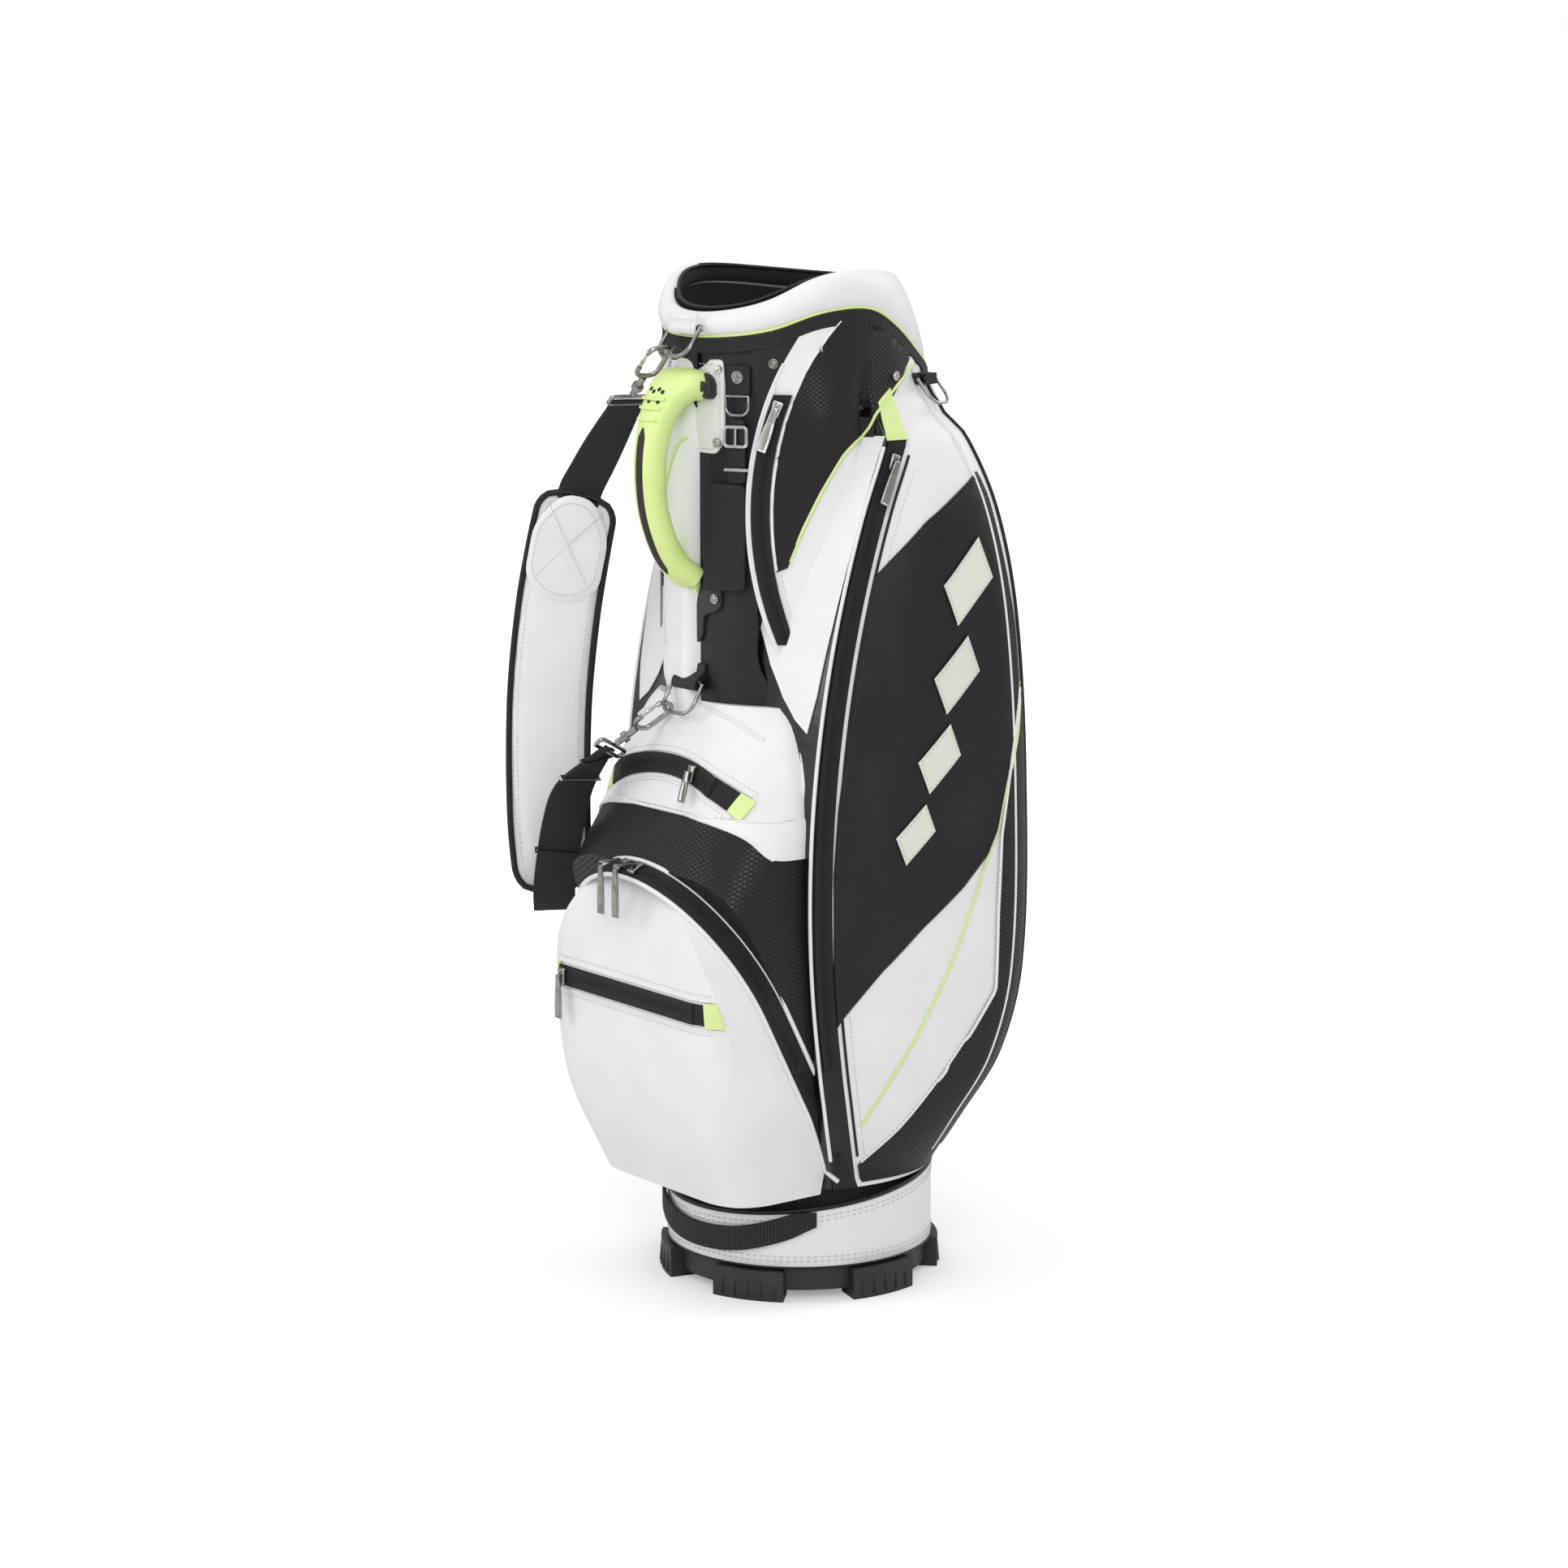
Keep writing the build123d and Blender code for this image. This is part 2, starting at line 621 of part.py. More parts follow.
def snap_hook(grip_at, eye_at):
    """Hook plate: its bow goes round the ring's wire and its far end holds the webbing."""
    start, end = Vector(grip_at), Vector(*eye_at)
    down = (end - start).normalized()
    side = Vector(0, -1, 0)
    side = (side - down * side.dot(down)).normalized()
    normal = side.cross(down * -1)
    length = (end - start).length
    plane = Plane(origin=start, x_dir=side, z_dir=normal)
    half = HOOK_BORE / 2
    bow = Pos(0, HOOK_NOSE + HOOK_WALL - HOOK_BOW / 2) * RectangleRounded(HOOK_BORE + 2 * HOOK_WALL, HOOK_BOW, 9)
    bore_l = HOOK_BOW - 2 * HOOK_WALL - 1
    bore = Pos(0, HOOK_NOSE - bore_l / 2) * RectangleRounded(HOOK_BORE, bore_l, 6)
    gate_gap = Pos(half + HOOK_WALL / 2, GATE_Y) * Rectangle(HOOK_WALL + 1, GATE_L + 0.8)
    bow_end = HOOK_NOSE + HOOK_WALL - HOOK_BOW
    stem = Pos(0, (bow_end + 2 - length) / 2) * Rectangle(8, length + bow_end + 2)
    eye = Pos(0, -length) * RectangleRounded(STRAP_W + 8, EYE_H, 5)
    eye_hole = Pos(0, -length) * RectangleRounded(STRAP_W + 1.6, 5.6, 2)
    outline = bow - bore - gate_gap + stem + eye - eye_hole
    hook = plane * (Pos(0, 0, -HOOK_T / 2) * extrude(outline, HOOK_T))
    gate = Pos(half + HOOK_WALL / 2, GATE_Y) * RectangleRounded(HOOK_WALL - 0.6, GATE_L, 1.2)
    latch = plane * (Pos(0, 0, -HOOK_T / 2 + 0.5) * extrude(gate, HOOK_T - 1))
    return single(hook), latch


TOP_EYE = (-58.0, -140.5, 782.0)
MID_EYE = (-52.0, -168.0, 482.0)


def past_eye(grip_at, eye_at):
    """The first two points of the webbing, straight on from a hook's eye."""
    start, end = Vector(grip_at), Vector(*eye_at)
    down = (end - start).normalized()
    points = [end + down * (EYE_H / 2 + GAP), end + down * (EYE_H / 2 + 12)]
    return [(p.X, p.Y, p.Z) for p in points]


def strap_section(at, width, thick, turn, tangent):
    """A rectangle across the strap: turn sets which way its width points."""
    a = radians(turn)
    w = Vector(cos(a), sin(a), 0)
    t = Vector(*tangent).normalized()
    w = (w - t * w.dot(t)).normalized()
    n = t.cross(w)
    c = Vector(*at)
    corners = [c + w * (sx * width / 2) + n * (sy * thick / 2) for sx, sy in ((-1, -1), (1, -1), (1, 1), (-1, 1))]
    return make_face(Polyline(*[tuple(p) for p in corners], close=True))


def strap_run(points, width, thick, turns):
    """A flat strap through a list of points."""
    faces = []
    last = len(points) - 1
    for k, at in enumerate(points):
        a, b = points[max(k - 1, 0)], points[min(k + 1, last)]
        tangent = tuple(q - p for p, q in zip(a, b))
        faces.append(strap_section(at, width, thick, turns[k], tangent))
    return loft(faces, ruled=True)


PAD_PATH = [(-136, -140, 694), (-154, -141, 640), (-170, -142, 580), (-185, -141, 500), (-192, -138, 400), (-190, -134, 330)]
PAD_TURNS = [50, 48, 46, 48, 56, 64]
TOP_WEB = [(-92, -141, 745), (-112, -141, 722), (-131, -140.1, 701.5)]
LOW_WEB = [(-90, -180, 444), (-121, -170, 408), (-150, -158, 366), (-170, -148, 334), (-184, -138, 314),
           (-190, -134, 320), (-190, -134, 329.8)]


def strap_pad():
    return strap_run(PAD_PATH, PAD_W, PAD_T, PAD_TURNS)


def strap_webbing():
    top_start = past_eye(ring_corner(TOP_RING_AT, TOP_RING_TILT), TOP_EYE)
    low_start = past_eye(ring_corner(MID_RING_AT, MID_RING_TILT), MID_EYE)
    top = strap_run(top_start + TOP_WEB, STRAP_W, STRAP_T, [90, 90, 70, 58, 50])
    low = strap_run(low_start + LOW_WEB, STRAP_W, STRAP_T, [113, 113, 76, 58, 58, 60, 62, 64, 64])
    return Compound(children=[single(top), single(low)])


# ---------------------------------------------------------------- tag and small hardware


def tag_plane(z, lift=0.0):
    return facing(TAG_ANGLE, TAG_R + lift, z)


def tag_tab():
    plane = facing(TAG_ANGLE, PANEL_R, 0)
    return plate(plane, 22, 26, 2.4, 0, 803, 4)


def tag_ring():
    return d_ring(tag_plane(790.0, 1.2), 24, 20, 2.6)


def tag_strap():
    plane = tag_plane(0.0)
    return plate(plane, 16, 54, 2.4, 0, 743.4, 4, lift=0.4)


def tag_buckle():
    plane = tag_plane(0.0, 2.9)
    outline = RectangleRounded(24, 20, 3) - RectangleRounded(17, 12, 2)
    frame = plane * (Pos(0, 756, 0) * extrude(outline, 2.2))
    tongue = plate(plane, 2.6, 17.4, 2.0, 0, 756.5)
    return single(frame + tongue)


def name_tag():
    plane = tag_plane(0.0)
    return plate(plane, 40, 92, 2.2, NAME_TAG_X, 669.8, 8, lift=0.4)


def snap_studs():
    studs = []
    for angle, z in ((44, 818.0), (66, 830.0)):
        for sign in (-1, 1):
            plane = facing(radians(sign * angle), COLLAR_LOW_R - 2.9, z)
            studs.append(plane * Cylinder(4.2, 3.0, align=(Align.CENTER, Align.CENTER, Align.MIN)))
    return Compound(children=studs)


TOWEL_ANGLE = radians(112.0)
TOWEL_TILT = radians(38.0)
TOWEL_R = 125.6
TOWEL_Z = 802.0


def towel_plane():
    out = Vector(sin(TOWEL_ANGLE), -cos(TOWEL_ANGLE), 0)
    lean = out * cos(TOWEL_TILT) + Vector(0, 0, 1) * sin(TOWEL_TILT)
    origin = Vector(sin(TOWEL_ANGLE) * TOWEL_R, -cos(TOWEL_ANGLE) * TOWEL_R, TOWEL_Z)
    return Plane(origin=origin, x_dir=(cos(TOWEL_ANGLE), sin(TOWEL_ANGLE), 0), z_dir=lean)


def towel_lug():
    """Lug on the top frame that holds the towel ring's bar."""
    root = COLLAR_LOW_R - CUFF_T - 5.5
    plane = facing(TOWEL_ANGLE, root, TOWEL_Z)
    reach = TOWEL_R + 4.6 - root
    bar = Plane(origin=towel_plane().origin, x_dir=(0, 0, 1), z_dir=towel_plane().x_dir)
    hole = bar * Cylinder(2.6, 60)
    return plate(plane, 20, 9.6, reach) - hole


def towel_ring():
    return d_ring(towel_plane(), 34, 30, 3.0)


def build():
    """Every node of the bag by name."""
    garment = garment_pocket()
    garments = garment + mirrored(garment)
    body = belly()
    upper = upper_pocket(garment)
    hook, gate = snap_hook(ring_corner(TOP_RING_AT, TOP_RING_TILT), TOP_EYE)
    low_hook, low_gate = snap_hook(ring_corner(MID_RING_AT, MID_RING_TILT), MID_EYE)
    garment_slide = slider(garment_zip_plane(GARMENT_SLIDER_Z))
    garment_tag = pull(garment_zip_plane(GARMENT_SLIDER_Z))
    upper_slide = slider(upper_zip_plane(UPPER_SLIDER_Z))
    upper_tag = pull(upper_zip_plane(UPPER_SLIDER_Z))
    return {
        "base_moulding": base_moulding(),
        "base_feet": base_feet(),
        "base_band": base_band(),
        "lift_loop": lift_loop(),
        "bag_tube": bag_tube(),
        "club_divider": club_divider(),
        "top_frame": top_frame(),
        "top_cuff": top_cuff(),
        "cuff_webbing": cuff_webbing(),
        "front_panel": front_panel(),
        "back_spine": back_spine(),
        "garment_pocket_right": garment,
        "garment_pocket_left": mirrored(garment),
        "upper_pocket_right": upper,
        "upper_pocket_left": mirrored(upper),
        "ball_pocket": ball_pocket(body, garments),
        "pocket_gusset": pocket_gusset(body, garments),
        "upper_front_pocket": upper_front_pocket(body, garments),
        "ball_zip": ball_zip(),
        "garment_zips": Compound(children=[garment_zip(), mirrored(garment_zip())]),
        "upper_zips": Compound(children=[upper_zip(), mirrored(upper_zip())]),
        "upper_front_zip": front_arch_zip(),
        "ball_front_zip": straight_zip(BALL_ZIP_Z, 99),
        "ball_slider_right": slider(arch_zip_plane(ARCH_SLIDER_ANGLE)),
        "ball_slider_left": slider(arch_zip_plane(-ARCH_SLIDER_ANGLE)),
        "ball_pull_right": arch_pull(ARCH_SLIDER_ANGLE),
        "ball_pull_left": arch_pull(-ARCH_SLIDER_ANGLE),
        "garment_slider_right": garment_slide,
        "garment_slider_left": mirrored(garment_slide),
        "garment_pull_right": garment_tag,
        "garment_pull_left": mirrored(garment_tag),
        "upper_slider_right": upper_slide,
        "upper_slider_left": mirrored(upper_slide),
        "upper_pull_right": upper_tag,
        "upper_pull_left": mirrored(upper_tag),
        "ball_front_slider": slider(level_zip_plane(BALL_SLIDER_X, BALL_ZIP_Z)),
        "ball_front_pull": pull(level_zip_plane(BALL_SLIDER_X, BALL_ZIP_Z)),
        "upper_front_slider": slider(front_zip_plane(FRONT_SLIDER_ANGLE)),
        "upper_front_pull": pull(front_zip_plane(FRONT_SLIDER_ANGLE), 30.0),
        "handle_grip": handle_grip(),
        "handle_patch": handle_patch(),
        "handle_bracket": handle_bracket(),
        "handle_screws": handle_screws(),
        "top_ring_tab": loop_tab(TOP_RING_AT, 36, 13),
        "top_ring": d_ring(hanging(TOP_RING_AT, TOP_RING_TILT)),
        "top_hook": hook,
        "top_hook_gate": gate,
        "lower_hook": low_hook,
        "lower_hook_gate": low_gate,
        "mid_ring_tab": loop_tab(MID_RING_AT, 34, 18),
        "mid_ring": d_ring(hanging(MID_RING_AT, MID_RING_TILT)),
        "strap_webbing": strap_webbing(),
        "strap_pad": strap_pad(),
        "tag_tab": tag_tab(),
        "tag_ring": tag_ring(),
        "tag_strap": tag_strap(),
        "tag_buckle": tag_buckle(),
        "name_tag": name_tag(),
        "snap_studs": snap_studs(),
        "towel_ring": towel_ring(),
    }


if __name__ == "__main__":
    os.makedirs("parts", exist_ok=True)
    for name, shape in build().items():
        export_step(shape, f"parts/{name}.step")
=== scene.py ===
from math import atan2, ceil, cos, pi, radians, sin, sqrt

import bmesh
import bpy
from mathutils import Matrix, Vector
from mathutils.bvhtree import BVHTree


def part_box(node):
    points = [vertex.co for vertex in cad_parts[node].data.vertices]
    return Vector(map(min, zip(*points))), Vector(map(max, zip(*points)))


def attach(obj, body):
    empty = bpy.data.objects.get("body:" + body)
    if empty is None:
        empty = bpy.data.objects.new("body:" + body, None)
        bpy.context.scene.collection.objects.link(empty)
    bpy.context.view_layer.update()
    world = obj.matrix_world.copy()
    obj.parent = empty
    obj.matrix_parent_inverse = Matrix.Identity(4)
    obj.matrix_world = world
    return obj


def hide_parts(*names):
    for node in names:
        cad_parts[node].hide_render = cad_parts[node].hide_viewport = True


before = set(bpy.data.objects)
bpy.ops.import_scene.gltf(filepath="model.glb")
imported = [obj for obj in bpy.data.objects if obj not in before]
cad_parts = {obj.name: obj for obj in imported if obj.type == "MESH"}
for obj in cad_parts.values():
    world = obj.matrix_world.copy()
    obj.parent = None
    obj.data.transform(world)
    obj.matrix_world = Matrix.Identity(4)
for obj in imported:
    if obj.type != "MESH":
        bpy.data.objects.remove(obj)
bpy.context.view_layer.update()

# Golf staff bag. Shapes are in millimetres here and become metres in the meshes.
# +Z is up, -Y is the front with the handle, +X is the side with the name tag.

MM = 0.001
TUBE_R = 109.0
BAND_R = 118.4
SKIRT_R = 115.1
SKIRT_Z = 753.0
TUBE_TOP = 780.0
FACET = (Vector((0.6, -0.8, 0)), Vector((0.8, 0.6, 0)))      # out and along, right side
SIDES = (("right", 1), ("left", -1))


# ---------------------------------------------------------------- finishes


class Signal:
    """A node's output, on which sums are written as Python expressions."""

    def __init__(self, finish, socket):
        self.finish = finish
        self.socket = socket

    def math(self, kind, *others):
        values = dict(enumerate((self,) + others))
        return self.finish.node("Math", {"operation": kind}, values)

    def __add__(self, other):
        return self.math("ADD", other)

    __radd__ = __add__

    def __mul__(self, other):
        return self.math("MULTIPLY", other)

    __rmul__ = __mul__

    def __sub__(self, other):
        return self.math("SUBTRACT", other)

    def __rsub__(self, other):
        return self.finish.node("Math", {"operation": "SUBTRACT"}, {0: other, 1: self})

    def __truediv__(self, other):
        return self.math("DIVIDE", other)


class Finish:
    """One material, built from nodes."""

    def __init__(self, name):
        self.material = bpy.data.materials.new(name)
        self.material.use_nodes = True
        self.tree = self.material.node_tree
        self.shader = self.tree.nodes["Principled BSDF"]

    def node(self, kind, settings=None, inputs=None, out=0):
        made = self.tree.nodes.new("ShaderNode" + kind)
        for key, value in (settings or {}).items():
            setattr(made, key, value)
        for key, value in (inputs or {}).items():
            self.feed(made.inputs[key], value)
        return Signal(self, made.outputs[out])

    def feed(self, socket, value):
        if isinstance(value, Signal):
            self.tree.links.new(value.socket, socket)
        else:
            socket.default_value = value

    def set(self, **inputs):
        for key, value in inputs.items():
            self.feed(self.shader.inputs[key.replace("_", " ")], value)
        return self

    def place(self):
        return self.node("TexCoord", out="Object")

    def noise(self, where, scale, detail=2.0):
        return self.node("TexNoise", None, {"Vector": where, "Scale": scale, "Detail": detail})

    def step(self, value, low, high, to_low=0.0, to_high=1.0):
        settings = {"interpolation_type": "SMOOTHSTEP"}
        levels = {"Value": value, "From Min": low, "From Max": high, "To Min": to_low, "To Max": to_high}
        return self.node("MapRange", settings, levels)

    def blend(self, share, first, second):
        made = self.node("Mix", {"data_type": "RGBA"}, {0: share, 6: first, 7: second}, out=2)
        return made

    def bump(self, height, depth, under=None):
        """Relief of a depth in metres for a height from 0 to 1."""
        inputs = {"Strength": 1.0, "Distance": depth, "Height": height}
        if under is not None:
            inputs["Normal"] = under
        return self.node("Bump", None, inputs)

    def wall(self, where):
        """Lengths round the bag and up it, in metres."""
        axes = self.node("SeparateXYZ", None, {"Vector": where})
        x, y, z = (Signal(self, axes.socket.node.outputs[k]) for k in range(3))
        return x.math("ARCTAN2", y * -1.0) * 0.14, z


def rgb(red, green, blue):
    return (red, green, blue, 1.0)


def leather(name, colour, shade, rough, pebble=1500.0, depth=0.00010, gloss=0.0):
    """Coated leather: fine pebble, slow wrinkles and a faint change of tone."""
    f = Finish(name)
    where = f.place()
    cells = f.node("TexVoronoi", {"feature": "DISTANCE_TO_EDGE"}, {"Vector": where, "Scale": pebble})
    grain = f.step(cells, 0.0, 0.35)
    slow = f.noise(where, 22.0, 3.0)
    fine = f.noise(where, 420.0, 3.0)
    tone = f.step(slow, 0.32, 0.7)
    worn = f.step(f.noise(where, 7.0, 5.0), 0.45, 0.75)
    relief = f.bump(grain * 0.6 + fine * 0.4, depth)
    relief = f.bump(slow, 0.0018, relief)
    f.set(Base_Color=f.blend(tone, shade, colour), Normal=relief)
    f.set(Roughness=f.step(fine + worn * 0.6, 0.3, 1.1, rough - 0.06, rough + 0.09))
    f.set(Coat_Weight=gloss, Coat_Roughness=0.12)
    if colour[0] < 0.05:
        f.set(Specular_IOR_Level=0.38)
    return f.material


def embossed(name, colour, shade):
    """Leather pressed with a small diamond mesh, with painted shade darkening the grooves between the diamonds."""
    f = Finish(name)
    where = f.place()
    round_way, up = f.wall(where)
    a = (round_way / 0.0060 + up / 0.0040).math("FRACT") - 0.5
    b = (round_way / 0.0060 - up / 0.0040).math("FRACT") - 0.5
    lines = a.math("ABSOLUTE").math("MAXIMUM", b.math("ABSOLUTE"))
    raised = f.step(lines, 0.28, 0.46, 1.0, 0.0)
    fine = f.noise(where, 600.0, 2.0)
    slow = f.noise(where, 16.0, 3.0)
    relief = f.bump(raised + fine * 0.15, 0.00055)
    relief = f.bump(slow, 0.0015, relief)
    # painted shade: the grooves between the raised diamonds take the darker colour
    f.set(Base_Color=f.blend(raised, shade, colour), Normal=relief)
    f.set(Roughness=f.step(raised + fine * 0.3, 0.0, 1.2, 0.62, 0.38), Specular_IOR_Level=0.4)
    return f.material


def lining(name):
    """Open knit lining of the mouth, with painted shade darkening the low cells of the knit."""
    f = Finish(name)
    where = f.place()
    round_way, up = f.wall(where)
    a = (round_way * 1450.0).math("SINE")
    b = (up * 1250.0).math("SINE")
    knit = f.step(a * b, -0.6, 0.7)
    slow = f.noise(where, 30.0, 3.0)
    relief = f.bump(knit, 0.0006)
    # painted shade: the low cells of the knit take the near-black colour, the raised ones the lighter colour
    f.set(Base_Color=f.blend(knit, rgb(0.004, 0.004, 0.005), rgb(0.030, 0.030, 0.032)), Normal=f.bump(slow, 0.001, relief))
    f.set(Roughness=f.step(knit, 0.0, 1.0, 0.95, 0.72))
    return f.material


def woven(name, pitch, colour=(0.022, 0.022, 0.024), map_name=None):
    """Ribbed webbing with painted shade between the ribs. With a map it follows the strap, otherwise the bag's wall."""
    f = Finish(name)
    where = f.place()
    if map_name:
        axes = f.node("SeparateXYZ", None, {"Vector": f.node("UVMap", {"uv_map": map_name})})
        across, along = (Signal(f, axes.socket.node.outputs[k]) for k in (0, 1))
    else:
        along, across = f.wall(where)
    ribs = (along * (2 * pi / pitch)).math("SINE")
    threads = (across * (2 * pi / (pitch * 0.45)) + ribs * 1.2).math("SINE")
    height = f.step(ribs * 0.7 + threads * 0.3, -0.9, 0.9)
    fuzz = f.noise(where, 900.0, 3.0)
    # painted shade: the low parts between ribs and threads fall to 35 per cent of the colour; the fuzz adds a small
    # random change of tone
    rib_groove_shade = rgb(*(c * 0.35 for c in colour))
    f.set(Base_Color=f.blend(height * 0.8 + fuzz * 0.2, rib_groove_shade, rgb(*colour)))
    f.set(Normal=f.bump(height + fuzz * 0.2, pitch * 0.28))
    f.set(Roughness=f.step(height, 0.0, 1.0, 0.9, 0.66))
    return f.material


def moulded(name, colour, shade, rough, grain=700.0, depth=0.00006):
    """Moulded plastic with spark texture and slightly scuffed tone."""
    f = Finish(name)
    where = f.place()
    spark = f.noise(where, grain, 4.0)
    scuff = f.step(f.noise(where, 34.0, 6.0), 0.5, 0.72)
    f.set(Base_Color=f.blend(scuff, colour, shade), Normal=f.bump(spark, depth))
    f.set(Roughness=f.step(spark + scuff * 0.5, 0.3, 1.2, rough, rough + 0.16))
    return f.material


def plated(name, colour, rough):
    """Polished plating with fine turning marks and duller patches."""
    f = Finish(name)
    where = f.place()
    marks = f.noise(f.node("Mapping", None, {"Vector": where, "Scale": (1.0, 1.0, 7.0)}), 900.0, 2.0)
    dull = f.step(f.noise(where, 90.0, 4.0), 0.42, 0.7)
    f.set(Base_Color=f.blend(dull, colour, rgb(*(c * 0.72 for c in colour[:3]))), Metallic=1.0)
    f.set(Roughness=f.step(dull + marks * 0.4, 0.0, 1.4, rough, rough + 0.18), Normal=f.bump(marks, 0.00003))
    return f.material


WHITE = leather("white_leather", rgb(0.86, 0.865, 0.86), rgb(0.83, 0.84, 0.84), 0.42)
CREAM = leather("cream_leather", rgb(0.80, 0.80, 0.70), rgb(0.76, 0.76, 0.66), 0.45, 900.0, 0.00012)
BLACK = leather("black_leather", rgb(0.009, 0.009, 0.010), rgb(0.006, 0.006, 0.007), 0.40, 1300.0, 0.00014)
GLOSS = leather("black_patent_leather", rgb(0.006, 0.006, 0.007), rgb(0.004, 0.004, 0.005), 0.22, 900.0, 0.00005, 0.5)
MESH = embossed("black_diamond_leather", rgb(0.012, 0.012, 0.013), rgb(0.004, 0.004, 0.005))
LINING = lining("mouth_lining")
BAND = woven("cuff_band_weave", 0.0026)
WEB = woven("strap_weave", 0.0030, map_name="weave")
TAPE = woven("zip_tape_weave", 0.0016, (0.016, 0.016, 0.018))
LIME = leather("lime_leather", rgb(0.76, 0.90, 0.38), rgb(0.71, 0.86, 0.34), 0.45)
GRIP = moulded("lime_grip_moulding", rgb(0.73, 0.89, 0.33), rgb(0.66, 0.83, 0.28), 0.38)
PLASTIC = moulded("black_moulding", rgb(0.020, 0.020, 0.021), rgb(0.034, 0.034, 0.035), 0.46)
RUBBER = moulded("black_grip_inlay", rgb(0.012, 0.012, 0.012), rgb(0.020, 0.020, 0.020), 0.6, 1200.0, 0.0001)
METAL = plated("gunmetal_plating", rgb(0.40, 0.39, 0.37), 0.17)
BRIGHT = plated("nickel_plating", rgb(0.66, 0.65, 0.62), 0.15)
THREAD = moulded("pale_thread", rgb(0.56, 0.57, 0.56), rgb(0.44, 0.45, 0.44), 0.7)
DARK_THREAD = moulded("dark_thread", rgb(0.05, 0.05, 0.052), rgb(0.03, 0.03, 0.032), 0.7)


# ---------------------------------------------------------------- making and finishing pieces


def deselect():
    for o in bpy.context.selected_objects:
        o.select_set(False)


def only(obj):
    deselect()
    obj.select_set(True)
    bpy.context.view_layer.objects.active = obj
    return obj


def settle(obj):
    """Puts a piece's place, turn and size into its mesh."""
    only(obj)
    bpy.ops.object.transform_apply(location=True, rotation=True, scale=True)
    return obj


def modify(obj, kind, **settings):
    only(obj)
    made = obj.modifiers.new(kind.lower(), kind)
    for key, value in settings.items():
        setattr(made, key, value)
    bpy.ops.object.modifier_apply(modifier=made.name)
    return obj


def smooth(obj, angle=35.0):
    only(obj)
    bpy.ops.object.shade_smooth_by_angle(angle=radians(angle))
    return obj


def outward(obj):
    """Turns every face of a closed piece outwards."""
    made = bmesh.new()
    made.from_mesh(obj.data)
    bmesh.ops.recalc_face_normals(made, faces=made.faces)
    made.to_mesh(obj.data)
    made.free()
    return obj


def paint(obj, *finishes):
    obj.data.materials.clear()
    for finish in finishes:
        obj.data.materials.append(finish)
    return obj


def body(obj, name, *stands_for):
    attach(obj, name)
    if stands_for:
        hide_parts(*stands_for)
    return obj


def mesh_object(name, points, faces):
    data = bpy.data.meshes.new(name)
    data.from_pydata([tuple(c * MM for c in p) for p in points], [], faces)
    data.update()
    obj = bpy.data.objects.new(name, data)
    bpy.context.scene.collection.objects.link(obj)
    return obj


def skin(name, rows, closed=True, caps=True):
    """A sewn skin through rows of points, with a map that follows it."""
    count = len(rows[0])
    points = [p for row in rows for p in row]
    span = count if closed else count - 1
    faces = []
    for r in range(len(rows) - 1):
        for c in range(span):
            d = (c + 1) % count
            faces.append((r * count + c, r * count + d, (r + 1) * count + d, (r + 1) * count + c))
    if caps and closed:
        faces.append(tuple(reversed(range(count))))
        faces.append(tuple((len(rows) - 1) * count + c for c in range(count)))
    obj = mesh_object(name, points, faces)
    along = [0.0]
    for r in range(1, len(rows)):
        along.append(along[-1] + (Vector(rows[r][0]) - Vector(rows[r - 1][0])).length * MM)
    layer = obj.data.uv_layers.new(name="weave")
    across = [0.0]
    for c in range(1, count + 1):
        across.append(across[-1] + (Vector(rows[0][c % count]) - Vector(rows[0][c - 1])).length * MM)
    for f in obj.data.polygons[:(len(rows) - 1) * span]:
        r, c = divmod(f.index, span)
        for loop, (dr, dc) in zip(f.loop_indices, ((0, 0), (0, 1), (1, 1), (1, 0))):
            layer.data[loop].uv = (across[c + dc], along[r + dr])
    return obj


def cord_round(name, points, radius, finish, rides, closed=False, sides=4, flat=1.0):
    """A round piping or wire along points."""
    curve = bpy.data.curves.new(name, "CURVE")
    curve.dimensions = "3D"
    curve.bevel_depth = radius * MM
    curve.bevel_resolution = sides // 2
    curve.use_fill_caps = True
    run = curve.splines.new("POLY")
    run.points.add(len(points) - 1)
    for point, at in zip(run.points, points):
        point.co = (at[0] * MM, at[1] * MM, at[2] * MM, 1)
    run.use_cyclic_u = closed
    obj = bpy.data.objects.new(name, curve)
    bpy.context.scene.collection.objects.link(obj)
    only(obj)
    bpy.ops.object.convert(target="MESH")
    obj = bpy.context.object
    smooth(obj, 50.0)
    paint(obj, finish)
    body(obj, rides)
    return obj


def even(points, step):
    """Points at equal steps along a line of points."""
    line = [Vector(p) for p in points]
    out = [line[0]]
    left = step
    for a, b in zip(line, line[1:]):
        run = (b - a).length
        at = left
        while at <= run:
            out.append(a.lerp(b, at / run))
            at += step
        left = at - run
    return out


def curved(points, steps=8):
    """A smooth line through a few points."""
    line = [Vector(p) for p in points]
    line = [line[0] * 2 - line[1]] + line + [line[-1] * 2 - line[-2]]
    out = []
    for k in range(1, len(line) - 2):
        a, b, c, d = line[k - 1:k + 3]
        for s in range(steps):
            t = s / steps
            out.append(0.5 * (2 * b + (c - a) * t + (2 * a - 5 * b + 4 * c - d) * t * t + (3 * b - a - 3 * c + d) * t**3))
    out.append(line[-2])
    return out


